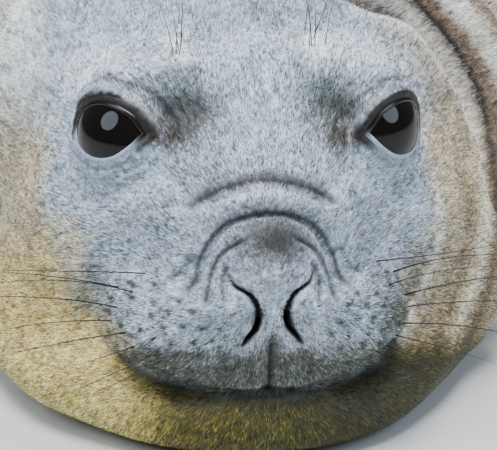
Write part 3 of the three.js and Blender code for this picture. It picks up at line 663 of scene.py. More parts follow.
def hind_place(side):
    out, back, origin = beside(HIND["at"], side)

    def place(s, c):
        splay = math.radians(HIND["splay"])
        way = back * math.cos(splay) + out * math.sin(splay)
        wide = -back * math.sin(splay) + out * math.cos(splay)
        half = HIND["half"][0] + (HIND["half"][1] - HIND["half"][0]) * smooth(0.3, 1, s)
        fork = 1 - 0.2 * (1 - np.abs(c) ** 1.6) * smooth(0.35, 1, s)
        scallop = 1 - 0.045 * digit_gap(c) * smooth(0.6, 1, s) * (1 - c**8)
        p = origin + out * HIND["inset"] + np.outer(s * HIND["length"] * fork * scallop, way)
        p = p + np.outer(c * half, wide)
        p[:, 2] = HIND["root"] + (HIND["lift"] - HIND["root"]) * smooth(0, 0.6, s)
        return p

    def thickness(s, c):
        whole = HIND["thick"][0] + (HIND["thick"][1] - HIND["thick"][0]) * smooth(0.05, 0.6, s)
        ridges = 1 - 0.3 * digit_gap(c) * smooth(0.4, 0.7, s)
        return whole * round_edge(c) * ridges * (1 - 0.3 * smooth(0.85, 1, s))

    return place, thickness


def fin(place, thickness, cell):
    """Points, faces and UV of one flipper. cell is its corner and size in the unwrap."""
    i, j = np.meshgrid(np.arange(FIN_CELLS + 1), np.arange(FIN_CELLS + 1), indexing="ij")
    s = (i / FIN_CELLS).ravel()
    c = -np.cos(np.pi * j / FIN_CELLS).ravel()
    middle = place(s, c)
    e = 1e-3
    along = place(s + e, c) - place(s - e, c)
    across = place(s, np.minimum(1, c + e)) - place(s, np.maximum(-1, c - e))
    n = np.cross(along, across)
    n /= np.maximum(np.linalg.norm(n, axis=1, keepdims=True), 1e-9)
    n = np.where(n[:, 2:] < 0, -n, n)
    flare = 1 + 0.9 * np.exp(-np.maximum(distance(middle), 0) / 14)
    half = np.maximum(thickness(s, c) / 2 * flare - COAT_DEPTH * 0.6 * round_edge(c), 0.3)
    edge = (i == FIN_CELLS) | (j == 0) | (j == FIN_CELLS)
    inner = ~edge.ravel()
    crease = (noise(middle, 6.0, 31) - 0.5) * 0.8
    high = middle + n * np.where(inner, half + crease, 0)[:, None]
    low = middle - n * np.where(inner, half, 0)[:, None]
    low[:, 2] = np.maximum(low[:, 2], 0.4)
    high[:, 2] = np.maximum(high[:, 2], 0.8)
    top = np.arange(len(high)).reshape(i.shape)
    under = top.copy()
    under[~edge] = len(high) + np.arange(inner.sum())
    points = np.vstack([high, low[inner]])
    upper, lower = (
        np.stack([k[:-1, :-1], k[:-1, 1:], k[1:, 1:], k[1:, :-1]], -1).reshape(-1, 4) for k in (top, under)
    )
    p = points[upper]
    faces = np.vstack([upper, lower[:, ::-1]])
    if np.cross(p[:, 1] - p[:, 0], p[:, 3] - p[:, 0])[:, 2].sum() < 0:
        faces = faces[:, ::-1]
    x0, y0, wide, tall = cell
    uv = np.stack([x0 + (j.ravel() / FIN_CELLS) * wide / 2.1, y0 + s * tall], 1)
    return points, faces, np.vstack([uv, uv[inner] + [wide / 2, 0]])


# Colour: markings, and painted light and shade, as functions of place, in display values
# How far out the silver of the face reaches at each height: h, the seal's right, the seal's left
SILVER_EDGE = np.array([
    (34, 10, 10), (44, 48, 56), (60, 66, 70), (84, 84, 82), (100, 86, 86), (132, 91, 91),
    (180, 101, 88), (222, 106, 76), (250, 60, 40),
], float).T
# How far out from the middle of the head the collar fold's darkest line, a painted shadow, is seen, and how
# much nearer it comes by each degree of climb
COLLAR_SEEN, COLLAR_NEARER = 131, 0.2
# Painted shade and highlights as bands on the roll behind the collar fold: distance out from that line,
# width, colour, strength
COLLAR_BANDS = [
    (-19, 6, (0.56, 0.48, 0.40), 0.7), (-8, 4, (0.95, 0.92, 0.87), 0.8), (14, 5, (0.96, 0.92, 0.86), 0.8),
    (24, 4, (0.48, 0.39, 0.32), 0.7), (5, 4, (0.36, 0.28, 0.22), 0.85), (0, 2, (0.10, 0.085, 0.075), 1.0),
]
# Pale and dark bands down the seal's left cheek, painted highlights and shade standing for narrow ridges,
# by the distance out from the middle of the head
CHEEK_BANDS = [
    (91, 2.5, (0.93, 0.91, 0.84), 0.75), (109, 4.5, (0.42, 0.34, 0.25), 0.6),
    (121, 4, (0.90, 0.84, 0.70), 0.75), (131, 4, (0.26, 0.20, 0.12), 0.7),
]
SILVER, PALE_SILVER, SHADED_SILVER = (0.58, 0.63, 0.675), (0.77, 0.81, 0.85), (0.44, 0.47, 0.48)
CREAM, TAN, GOLD = (0.93, 0.92, 0.88), (0.64, 0.58, 0.47), (0.82, 0.70, 0.42)
OLIVE, DEEP_OLIVE, LIP = (0.25, 0.235, 0.07), (0.16, 0.15, 0.05), (0.29, 0.30, 0.265)
DARK, BLACK = (0.13, 0.12, 0.11), (0.02, 0.018, 0.018)
# Grain in millimetres and seed of the broad blotches, the flecks and the two finest noises
COLOUR_NOISE = ((34, 41), (7, 42), (1.9, 43), (0.9, 44))
# tone, strength, the middle it lies about, how far out on both sides, its width, height and depth
FACE_TONES_AND_SHADE = [
    # the first two rows: painted shade in the hollows above and inside the eyes
    (SHADED_SILVER, 0.7, 0, 34, 16, 172, 13),
    ((0.14, 0.145, 0.135), 0.96, 4, 36, 13, 169, 10),
    ((0.28, 0.275, 0.27), 0.65, 2, 0, 20, 109, 13),
    ((0.09, 0.085, 0.08), 0.98, 2, 0, 11, 108, 8.5),
    # painted shade on the outer part of the seal's left pad
    ((0.16, 0.17, 0.13), 0.92, 68, 0, 16, 71, 15),
    (PALE_SILVER, 0.5, 0, 0, 9, 94, 5),
]


def body_colour(p, at, blotch):
    """Silver grey back, tan sides and a paler, yellower belly."""
    height = smooth(25, 250, p[:, 2] + blotch * 70)
    c = mix((0.72, 0.64, 0.47), (0.54, 0.54, 0.52), height)
    c = mix(c, (0.37, 0.375, 0.375), smooth(0.62, 1, height) * smooth(240, 480, at))
    return mix(c, (0.78, 0.70, 0.52), smooth(80, 0, p[:, 2]) * 0.5)


def eye_colour(c, p, fleck):
    """The lids: a dark rim, heavier above as painted shade, a painted highlight just beyond it, bluish skin
    with painted shade in its folds, and a stain from the inner corner.
    """
    for side, near, u, v, far in near_eyes(p, R * 2.4, -6):
        over = np.maximum(far - R - 3, 0)
        off = off_rim(u, v, side) + over * 0.8
        v = v + side * ASKEW
        inner = bell(u - INNER_CORNER[0], 12) * smooth(-3, 4, v)
        ring = smooth(15, 5, off + fleck[near] * 5) * (1 - 0.8 * inner)
        lid = mix((0.72, 0.79, 0.86), (0.50, 0.54, 0.58), smooth(-4, 9, v + u * 0.2))
        tone = mix(c[near], lid, ring * 0.75)
        corner = bell(u - INNER_CORNER[0], 6) * bell(v - INNER_CORNER[1], 5.5) * smooth(16, 5, over)
        tone = mix(tone, (0.20, 0.17, 0.14), corner * 0.9)
        # painted highlight: a pale line just beyond the dark rim, fading towards the bottom
        tone = mix(tone, (0.62, 0.63, 0.65), bell(off - 3.9, 0.7) * smooth(-8, 2, v) * 0.7)
        # painted shade in the folds of the upper and lower lids
        crease = bell(off - 7.6, 0.8) * smooth(-2, 5, v) + 0.2 * bell(off - 8.8, 0.7) * smooth(2, -5, v)
        tone = mix(tone, DARK, np.clip(crease, 0, 1) * 0.6)
        # dark rim at the opening, the lid's own margin, heavier above as painted shade under the upper lid
        c[near] = mix(tone, (0.11, 0.085, 0.065), smooth(2.7, 1.6, off) * (0.35 + 0.65 * smooth(-9, 2, v)))
    return c


def side_colour(x, h):
    """The sides of the head: cream above, partly a painted highlight, tan, and gold below, browner on the
    seal's left.
    """
    right = mix(mix(GOLD, TAN, smooth(92, 128, h)), CREAM, smooth(150, 200, h))
    left = mix(mix((0.55, 0.49, 0.36), TAN, smooth(50, 90, h)), (0.68, 0.64, 0.58), smooth(150, 190, h))
    return mix(right, left, smooth(-30, 30, x))


def silver_colour(x, h):
    """The silver of the face, with its paler and darker places, several of them painted highlights and
    shade.
    """
    out = np.abs(x)
    # paler over the brows, partly a painted highlight
    c = mix(np.tile(SILVER, (len(x), 1)), PALE_SILVER, 0.95 * bell(out - 70, 26) * bell(h - 192, 17))
    # painted highlights: on the roll under the bridge fold, and below the seal's right eye
    c = mix(c, PALE_SILVER, 0.8 * bell(x, 26) * bell(h - 130, 9) + bell(x + 68, 17) * bell(h - 137, 11))
    c = mix(c, SHADED_SILVER, 0.6 * bell(x - 8, 40) * smooth(203, 218, h))
    for tone, strength, about, aside, across, height, up in FACE_TONES_AND_SHADE:
        c = mix(c, tone, strength * bell(np.abs(x - about) - aside, across) * bell(h - height, up))
    return mix(c, (0.47, 0.48, 0.42), 0.6 * smooth(56, 78, out) * smooth(100, 70, h))


def mouth_colour(c, x, h, depth, front, fleck, blotch):
    """The strip of lip under the pads is dark grey, the chin olive, darker to the seal's left partly as
    painted shade, with a painted shadow under the lip and painted shade along the line of the mouth.
    """
    out = np.abs(x)
    off, _, side = to_line(LINE["mouth"], x, h)
    lip_top = 57 + 0.13 * np.maximum(out - 28, 0) + 2 * bell(x, 8)
    lip = smooth(lip_top + 6, lip_top - 5, h + fleck * 9 + blotch * 5) * smooth(-1, 1, side * off)
    c = mix(c, LIP, lip * 0.88 * front * smooth(80, 64, out))
    # the chin's olive, darker towards the seal's left, is partly painted shade
    chin = smooth(1, -3, side * off) * smooth(64, 44, h) * smooth(150, 110, depth)
    olive = mix((0.74, 0.65, 0.36), OLIVE, smooth(-74, -34, x))
    c = mix(c, mix(olive, DEEP_OLIVE, smooth(-10, 50, x + fleck * 20)), chin * 0.92)
    # painted shadow under the lip
    c = mix(c, (0.12, 0.115, 0.05), bell(off, 5) * (side < 0) * front * 0.7 * smooth(74, 56, out))
    # painted shade along the line of the mouth
    return mix(c, DARK, bell(off, 1.2) * front * 0.85 * smooth(82, 66, out))


def colour_of(p, at, turn, flipper):
    """The coat's colour at each point, painted light and shade included. flipper is 0 on the body and 1 out
    on a flipper.
    """
    x, h, depth = face_place(p)
    blotch, fleck, fine, grain = (noise(p, size, seed) - 0.5 for size, seed in COLOUR_NOISE)
    front = smooth(118, 98, depth)
    c = mix(body_colour(p, at, blotch), side_colour(x, h), smooth(330, 170, p[:, 1] + blotch * 60))
    # painted highlights and shade as stripes along the rolls behind the face
    past = p[:, 1] - between(COLLAR_FOLD[0], turn)
    round_off = from_turn(turn, *COLLAR_FOLD[1:3])
    behind = smooth(17, 24, past) * smooth(62, 34, past) * round_off
    roll_light_and_shade = 0.5 + 0.5 * np.cos((past - 16) / 4.2 + blotch * 1.2)
    c = mix(c, mix((0.47, 0.38, 0.31), (0.95, 0.91, 0.86), roll_light_and_shade), behind * 0.7)
    # a painted highlight along the edge of the face before the collar fold
    before = smooth(-34, -24, past) * smooth(0, -3, past) * round_off
    c = mix(c, mix((0.60, 0.53, 0.45), (0.95, 0.92, 0.88), smooth(-17, -9, past)), before * 0.7)
    edge = np.where(x < 0, *(np.interp(h, SILVER_EDGE[0], reach) for reach in SILVER_EDGE[1:]))
    soft = 9 + 16 * smooth(150, 230, h)
    silver = smooth(soft, -soft, np.abs(x) - edge + blotch * 22 + fleck * 6) * smooth(165, 105, depth)
    c = mix(c, silver_colour(x, h), silver)
    # painted shade just behind the collar fold, and its painted shadow line
    c = mix(c, (0.33, 0.26, 0.22), bell(past - 4, 5) * round_off * 0.75)
    c = mix(c, DARK, bell(past, 3) * round_off * 0.95)
    # painted shade and highlights of the collar's rolls, in bands placed by where the fold is seen
    climb = np.degrees(np.arctan2(p[:, 2] - HEAD_Z, np.abs(p[:, 0])))
    reach = np.hypot(p[:, 0], p[:, 2] - HEAD_Z) + blotch * 3
    wall = smooth(136, 150, p[:, 1]) * smooth(215, 185, p[:, 1]) * round_off
    beyond = reach - (COLLAR_SEEN - COLLAR_NEARER * climb)
    for place, width, tone, strength in COLLAR_BANDS:
        c = mix(c, tone, bell(beyond - place, width) * wall * strength)
    # painted highlights and shade standing for ridges down the seal's left cheek
    cheek = smooth(14, -2, climb) * smooth(-64, -46, climb)
    cheek = cheek * smooth(60, 72, p[:, 0]) * smooth(190, 150, p[:, 1])
    for place, width, tone, strength in CHEEK_BANDS:
        c = mix(c, tone, bell(reach - place, width) * cheek * strength)
    c = mouth_colour(c, x, h, depth, front, fleck, blotch)
    # painted shade inside the folds
    for name, *_, pair, _, width, dark in CREASES:
        if dark:
            d, share, side = to_line(LINE[name], np.abs(x) if pair else x, h)
            fade = smooth(0, 0.12, share) * smooth(0, 0.12, 1 - share)
            c = mix(c, DARK, bell(d, width) * dark * fade * front)
            # painted shade above the bridge fold, under its overhang
            if name == "bridge_fold":
                c = mix(c, (0.24, 0.23, 0.22), bell(d - 2.2, 2.6) * (side > 0) * 0.5 * fade * front)
    d, _ = nostril_off(x, h)
    # painted shade round the edge of each nostril slit
    c = mix(c, (0.24, 0.24, 0.23), bell(np.maximum(d, 0), 0.9) * front * 0.6)
    # painted highlight along the wet edges of the nostrils by the septum
    wet_and_sheen = bell(d - 0.7, 0.45) * smooth(9, 6.5, np.abs(x)) * bell(h - 72, 11)
    c = mix(c, (0.66, 0.65, 0.58), wet_and_sheen * front * 0.7)
    # painted shade inside the nostril slits
    c = mix(c, BLACK, smooth(0.5, -0.2, d) * front)
    # painted shade in each whisker pit
    c = mix(c, DARK, bell(to_pits(x, h), 1.3) * 0.95 * front)
    # pale patches where the brow whiskers grow
    brow = bell(np.abs(x) - 33.5, 6) * bell(h - 202, 7) * np.clip(0.9 + fleck * 2, 0, 1)
    c = mix(c, (1.0, 1.0, 0.99), brow * 0.95)
    c = eye_colour(c, p, fleck)
    dark = mix((0.30, 0.27, 0.24), (0.20, 0.18, 0.165), smooth(-0.3, 0.3, blotch))
    c = mix(c, dark, flipper * 0.85)
    shade = 1 + fleck * 0.24 + fine * 0.5 + grain * 0.6 + blotch * 0.12
    return np.clip(c * shade[:, None], 0.005, 0.95)


def linear(c):
    c = np.asarray(c, float)
    return np.where(c <= 0.04045, c / 12.92, ((c + 0.055) / 1.055) ** 2.4)


# Materials
def connect(tree, node, **inputs):
    """Sets a node's inputs, named with _ for a space, to values or to the outputs of other nodes."""
    for name, given in inputs.items():
        socket = node.inputs[name.replace("_", " ")]
        if isinstance(given, bpy.types.NodeSocket):
            tree.links.new(given, socket)
        else:
            socket.default_value = given


def add_node(tree, kind, output, operation=None, **inputs):
    """Adds a node and gives one of its outputs."""
    node = tree.nodes.new("ShaderNode" + kind)
    if operation:
        node.operation = operation
    connect(tree, node, **inputs)
    return node.outputs[output]


def new_material(name):
    material = bpy.data.materials.new(name)
    material.use_nodes = True
    tree = material.node_tree
    return material, tree, tree.nodes["Principled BSDF"], add_node(tree, "TexCoord", "Object")


def speckle(tree, shader, place, colour, scale, grain_range, factor_range, strength, depth):
    """A fine noise that scales the colour and lifts the surface."""
    grain = add_node(tree, "TexNoise", "Fac", Vector=place, Scale=scale, Detail=3.0)
    factor = add_node(
        tree, "MapRange", "Result", Value=grain, From_Min=grain_range[0], From_Max=grain_range[1],
        To_Min=factor_range[0], To_Max=factor_range[1],
    )
    scaled = add_node(tree, "VectorMath", "Vector", "SCALE", Vector=colour, Scale=factor)
    connect(tree, shader, Base_Color=scaled)
    if strength:
        lifted = add_node(tree, "Bump", "Normal", Strength=strength, Distance=depth, Height=grain)
        connect(tree, shader, Normal=lifted)


def hide_material(name, roughness, bump=0.0, sheen=0.0):
    """A material that takes its colours from the mesh."""
    material, tree, shader, place = new_material(name)
    tint = tree.nodes.new("ShaderNodeAttribute")
    tint.attribute_name = "hide"
    speckle(tree, shader, place, tint.outputs["Color"], 900.0, (0.25, 0.75), (0.72, 1.28), bump, 0.0005)
    broad = add_node(tree, "TexNoise", "Fac", Vector=place, Scale=160.0, Detail=2.0)
    low, high = roughness - 0.1, roughness + 0.1
    rough = add_node(tree, "MapRange", "Result", Value=broad, To_Min=low, To_Max=high)
    connect(tree, shader, Roughness=rough, Sheen_Weight=sheen, Sheen_Roughness=0.4, Specular_IOR_Level=0.4)
    return material


def plain_material(name, colour, roughness, coat=0.0, grain=0.0, specular=0.5):
    """A material of one colour, speckled where grain is above 0."""
    material, tree, shader, place = new_material(name)
    connect(
        tree, shader, Base_Color=(*linear(colour), 1), Roughness=roughness, Coat_Weight=coat,
        Coat_Roughness=0.02, Specular_IOR_Level=specular,
    )
    if grain:
        speckle(tree, shader, place, linear(colour), 500.0, (0.0, 1.0), (1 - grain, 1 + grain), 0.3, 0.0004)
    return material


HIDE = hide_material("hide", 0.55, 0.5, 0.05)
HAIR = hide_material("hair", 0.5)
EYE_DARK = plain_material("eye_dark", (0.06, 0.045, 0.035), 0.05, specular=0.3)
WET_RIM = hide_material("wet_rim", 0.25)
WHISKER = plain_material("whisker", (0.075, 0.06, 0.05), 0.35, grain=0.3)
HORN = plain_material("horn", (0.16, 0.14, 0.125), 0.4, coat=0.2, grain=0.35)
FLOOR = plain_material("floor", (0.80, 0.80, 0.79), 0.8, grain=0.03)


def mesh_object(name, points, faces, material, uv=None, colours=None, flat=False):
    """points in mm. faces is a list of index arrays. uv and colours are one per point."""
    sizes = np.concatenate([np.full(len(f), f.shape[1]) for f in faces])
    loops = np.concatenate([f.ravel() for f in faces]).astype(np.int32)
    mesh = bpy.data.meshes.new(name)
    mesh.vertices.add(len(points))
    mesh.vertices.foreach_set("co", to_row(points).astype(np.float32).ravel())
    mesh.loops.add(len(loops))
    mesh.loops.foreach_set("vertex_index", loops)
    mesh.polygons.add(len(sizes))
    starts = np.concatenate([[0], np.cumsum(sizes)[:-1]]).astype(np.int32)
    mesh.polygons.foreach_set("loop_start", starts)
    mesh.update(calc_edges=True)
    mesh.validate()
    mesh.polygons.foreach_set("use_smooth", np.full(len(mesh.polygons), not flat))
    if uv is not None:
        layer = mesh.uv_layers.new(name="OFBake")
        layer.data.foreach_set("uv", np.asarray(uv)[loops].astype(np.float32).ravel())
    if colours is not None:
        layer = mesh.color_attributes.new("hide", "FLOAT_COLOR", "POINT")
        rgba = np.ones((len(points), 4), np.float32)
        rgba[:, :3] = linear(colours)
        layer.data.foreach_set("color", rgba.ravel())
    mesh.materials.append(material)
    made = bpy.data.objects.new(name, mesh)
    bpy.context.collection.objects.link(made)
    return made


# The one skin: body and flippers
points, quads, tris, uv, at, turn = whole_skin(FACE_CELLS)
flipper = np.zeros(len(points))
FINS = [(fore_place, FORE, 1), (fore_place, FORE, -1), (hind_place, HIND, 1), (hind_place, HIND, -1)]
for number, (maker, sizes, side) in enumerate(FINS):
    cell = (FLIPPER_UV[0], 0.01 + 0.247 * number, FLIPPER_UV[1], 0.23)
    fin_points, fin_faces, fin_uv = fin(*maker(side), cell)
    quads.append(fin_faces + len(points))
    points = np.vstack([points, fin_points])
    uv = np.vstack([uv, fin_uv])
    at = np.append(at, np.full(len(fin_points), float(sizes["at"])))
    turn = np.append(turn, np.full(len(fin_points), 0.0 if side > 0 else 180.0))
    flipper = np.append(flipper, smooth(2, 60, distance(fin_points)))
skin = mesh_object("skin", points, quads + tris, HIDE, uv, colour_of(points, at, turn, flipper))
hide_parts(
    "head", "neck", "chest", "belly", "hips", "tail",
    "fore_flipper_left", "fore_flipper_right", "hind_flipper_left", "hind_flipper_right",
)
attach(skin, "root")


def ring_faces(rings, n):
    """Quads between rings of n points each."""
    k = np.arange(n)
    m = (k + 1) % n
    base = np.arange(rings - 1)[:, None] * n
    return np.stack([base + k, base + m, base + n + m, base + n + k], -1).reshape(-1, 4)


# Eyes and the wet rims and lids round them
def sphere(radius, columns, rows):
    a = np.repeat(np.pi * np.arange(rows + 1) / rows, columns)
    b = np.tile(2 * np.pi * np.arange(columns) / columns, rows + 1)
    made = np.stack([np.sin(a) * np.cos(b), np.sin(a) * np.sin(b), np.cos(a)], 1)
    return made * radius, ring_faces(rows + 1, columns)[:, ::-1]


def unit(v):
    return v / np.maximum(np.linalg.norm(v, axis=1, keepdims=True), 1e-9)


def rim_ring(side, steps, profile):
    """A ring round the opening. profile: distance out from the edge, and how far outside the ball."""
    centre, away, up, look = eye_axes(side)
    loop = curve(OPENING, steps, closed=True) - [0, side * ASKEW]
    ahead = np.sqrt(np.maximum(R**2 - (loop**2).sum(1), 1))
    e = unit(loop[:, :1] * away + loop[:, 1:] * up + ahead[:, None] * look)
    outward = unit(np.cross(np.roll(e, -1, 0) - np.roll(e, 1, 0), e))
    if ((e - e.mean(0)) * outward).sum() < 0:
        outward = -outward
    for _ in range(6):
        outward = (np.roll(outward, 1, 0) + outward * 2 + np.roll(outward, -1, 0)) / 4
        outward = unit(outward - (outward * e).sum(1, keepdims=True) * e)
    made = np.vstack([
        centre + (e * math.cos(off / R) + outward * math.sin(off / R)) * (R + beyond)
        for off, beyond in profile
    ])
    faces = ring_faces(len(profile), len(loop))
    q = made[faces]
    facing = np.cross(q[:, 1] - q[:, 0], q[:, 3] - q[:, 0])
    return made, faces[:, ::-1] if (facing * (q.mean(1) - centre)).sum() < 0 else faces


LID_PROFILE = [
    (-0.9, -0.6), (-0.75, 0.15), (-0.3, 0.9), (0.3, 1.5), (1.0, 1.9), (1.9, 2.1), (3.0, 2.05), (4.2, 1.85),
    (5.5, 1.5), (7.0, 1.0), (9.0, 0.2),
]
WET_PROFILE = [(-2.8, -0.4), (-2.6, 0.1), (-2.0, 0.35), (-1.2, 0.45), (-0.5, 0.3)]
for side, hand in ((1, "left"), (-1, "right")):
    centre, away, up, look = eye_axes(side)
    ball, ball_faces = sphere(R - 0.3, 64, 48)
    basis = np.stack([away * side, up, look])
    eye = mesh_object(f"eye_{hand}_ball", ball @ basis + centre, [ball_faces], EYE_DARK)
    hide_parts(f"eye_{hand}")
    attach(eye, "root")
    lid, lid_faces = rim_ring(side, 16, LID_PROFILE)
    lid += unit(lid - centre) * ((noise(lid, 2.4, 51) - 0.5) * 0.7)[:, None]
    shade = colour_of(lid, np.full(len(lid), 100.0), np.full(len(lid), 90.0), np.zeros(len(lid)))
    lids = mesh_object(f"lids_{hand}", lid, [lid_faces], HIDE, colours=shade)
    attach(lids, "root")
    wet_and_sheen, wet_faces = rim_ring(side, 12, WET_PROFILE)
    # the wet rim, pale and bluish below and dark above; the dark is partly painted shade under the upper
    # lid
    shade = mix((0.60, 0.66, 0.74), (0.07, 0.055, 0.045), smooth(-4, 4, (wet_and_sheen - centre) @ up))
    wet_rim = mesh_object(f"wet_rim_{hand}", wet_and_sheen, [wet_faces], WET_RIM, colours=shade)
    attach(wet_rim, "root")


# Claws, in place of their nodes
def tube(line, radii, sides, squash=1.0):
    """Points, quads and end triangles of a closed tapering tube along a line."""
    along = unit(np.gradient(line, axis=0))
    a = unit(np.cross(along, [0.0, 0.0, 1.0] if abs(along[0, 2]) < 0.9 else [1.0, 0.0, 0.0]))
    b = np.cross(a, along)
    k = np.arange(sides)
    w = (2 * np.pi * k / sides)[:, None]
    around = a[:, None] * np.cos(w) * squash + b[:, None] * np.sin(w)
    rings = line[:, None] + around * radii[:, None, None]
    made = np.vstack([rings.reshape(-1, 3), line[-1] + along[-1] * radii[-1], line[0]])
    tip, m = len(line) * sides, (k + 1) % sides
    last = tip - sides
    far_end = np.stack([np.full(sides, tip), last + m, last + k], 1)
    near_end = np.stack([np.full(sides, tip + 1), k, m], 1)
    return made, ring_faces(len(line), sides)[:, ::-1], np.vstack([far_end, near_end])


CLAW = {"length": 22, "radius": 3.3, "sink": 0.6, "hook": 5}
for side, hand in ((1, "left"), (-1, "right")):
    place, _ = fore_place(side)
    for digit in range(DIGITS):
        c = np.array([-1 + (2 * digit + 1) / DIGITS])
        end = place(np.array([1.0]), c)[0]
        way = end - place(np.array([0.9]), c)[0]
        way[2] = 0
        way /= np.linalg.norm(way)
        t = np.linspace(0, 1, 14)
        line = end + np.outer(CLAW["length"] * (t - 0.55), way)
        line[:, 2] = end[2] + CLAW["radius"] * CLAW["sink"] + 1.4 - CLAW["hook"] * t * t
        radii = CLAW["radius"] * np.sqrt(1 - 0.95 * t * t)
        claw_points, claw_sides, claw_ends = tube(line, radii, 12, 0.8)
        claw = mesh_object(f"claw_{hand}_{digit + 1}", claw_points, [claw_sides, claw_ends], HORN)
        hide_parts(f"fore_claw_{hand}_{digit + 1}")
        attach(claw, "root")


# Whiskers, rooted in the pits at the outer part of each pad, and on the brows
def on_skin(x, h):
    """The skin's point under a place on the face plane."""
    x, h = np.asarray(x, float), np.asarray(h, float)
    start = 60.0
    origins = np.stack([x, h * FS + start * FC, h * FC - start * FS], 1)
    forward = np.tile([0.0, -FC, FS], (len(x), 1))
    p = cast(origins, forward)
    n = normals_of(p)
    return p + n * (face_relief(p) - COAT_DEPTH)[:, None], n


whisker_parts = []


def whisker(root, normal, towards, length, radius, droop, sideways):
    """A bristle from its root: it leaves along the normal and bends to a direction, then droops."""
    t = np.linspace(0, 1, 12)
    towards = towards / np.linalg.norm(towards)
    first = normal * 0.55 + towards * 0.45
    line = root - normal + np.outer(t * length * (1 - t * 0.5), first)
    line += np.outer(t * t * length * 0.62, towards)
    line[:, 2] -= droop * length * t * t
    line += np.outer(np.sin(t * 2.4) * length * 0.04, sideways)
    line[:, 2] = np.maximum(line[:, 2], 1.5)
    whisker_parts.append(tube(line, radius * (1 - 0.88 * t), 5))


LONG_ROOTS = np.array([
    (55, 95), (65, 90), (60, 84.5), (68, 80.5), (69, 73), (65, 68), (62, 61), (54.5, 57), (48, 54.5),
])
for side in (-1, 1):
    places = LONG_ROOTS + rng.uniform(-1.5, 1.5, LONG_ROOTS.shape)
    roots, rn = on_skin(places[:, 0] * side, places[:, 1])
    for (_, h), root, normal in zip(places, roots, rn):
        towards = np.array([side, 0.18 - 0.3 * rng.random(), (h - 80) * 0.011 + rng.uniform(-0.06, 0.06)])
        long = rng.uniform(62, 95) if h > 66 else rng.uniform(30, 58)
        radius, droop = rng.uniform(0.34, 0.46), rng.uniform(0.02, 0.14)
        whisker(root, normal, towards, long, radius, droop, rng.normal(0, 0.6, 3))
    roots, rn = on_skin(PITS[:, 0] * side, PITS[:, 1])
    for (px, ph), root, normal in zip(PITS, roots, rn):
        if rng.random() < 0.45:
            towards = np.array([side, -0.1, (ph - 84) * 0.02 + rng.uniform(-0.2, 0.2)])
            long = rng.uniform(5, 12) + 8 * smooth(40, 60, px)
            whisker(root, normal, towards, long, 0.17, 0.1, rng.normal(0, 0.6, 3))
    brow_x = 33.5 * side + rng.uniform(-5, 5, 6)
    brow_h = 202 + rng.uniform(-5, 5, 6)
    roots, rn = on_skin(brow_x, brow_h)
    for root, normal in zip(roots, rn):
        towards = np.array([side * (0.45 - 0.75 * rng.random()), -0.05, 1.0])
        whisker(root, normal, towards, rng.uniform(14, 36), 0.28, 0.0, rng.normal(0, 0.5, 3))
whisker_points, whisker_faces = [], []
start = 0
for made, quads_round, ends in whisker_parts:
    whisker_points.append(made)
    whisker_faces += [quads_round + start, ends + start]
    start += len(made)
whiskers = mesh_object("whiskers", np.vstack(whisker_points), whisker_faces, WHISKER)
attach(whiskers, "root")


# The coat: short blades lying along the body
def flow_at(p, at):
    """The way the hair lies, before it is laid along the skin."""
    steps = np.clip((at - HEAD_Y) / SPINE_STEP, 0, len(PLAN) - 2).astype(int)
    back = np.column_stack([PLAN[steps + 1] - PLAN[steps], np.full(len(p), -0.3 * SPINE_STEP)])
    return mix(unit(p - np.array([0.0, -8.0, 86.0])), unit(back), smooth(130, 260, at))


all_quads = np.vstack(quads)
corner = points[all_quads]
diagonal = np.cross(corner[:, 2] - corner[:, 0], corner[:, 3] - corner[:, 1])
area = np.linalg.norm(diagonal, axis=1) / 2
quad_normal = unit(diagonal)
quad_at = at[all_quads].mean(1)
quad_mid = corner.mean(1)


def bare(p):
    """1 where no hair grows: the lids' rims, inside the nostrils and the line of the mouth."""
    x, h, depth = face_place(p)
    nostril = smooth(1.2, 0.4, nostril_off(x, h)[0])
    mouth = smooth(1.8, 0.8, to_line(LINE["mouth"], x, h)[0])
    none = np.maximum(nostril, mouth) * smooth(110, 90, depth)
    for side, near, u, v, _ in near_eyes(p, R + 20, -2):
        none[near] = np.maximum(none[near], smooth(4.2, 2.4, off_rim(u, v, side)))
    return none


def across_quad(q, a, b):
    """The place inside each quad at the shares a along it and b up it."""
    return (q[:, 0] * (1 - a) + q[:, 1] * a) * (1 - b) + (q[:, 3] * (1 - a) + q[:, 2] * a) * b


ROOT_SINK = 0.15
HAIR_LEAN = (6, 20)
# Random lightness of each blade; its brightest steps partly stand in as painted highlights on the hairs
HAIR_TONES_AND_GLINTS = [0.2, 0.55, 1.0, 1.45, 1.9]
# A blade's four points in the unwrap, about its root
BLADE_UV = np.array([[-0.0012, -0.0012], [0.0012, -0.0012], [0.0, 0.0], [0.0, 0.0016]])


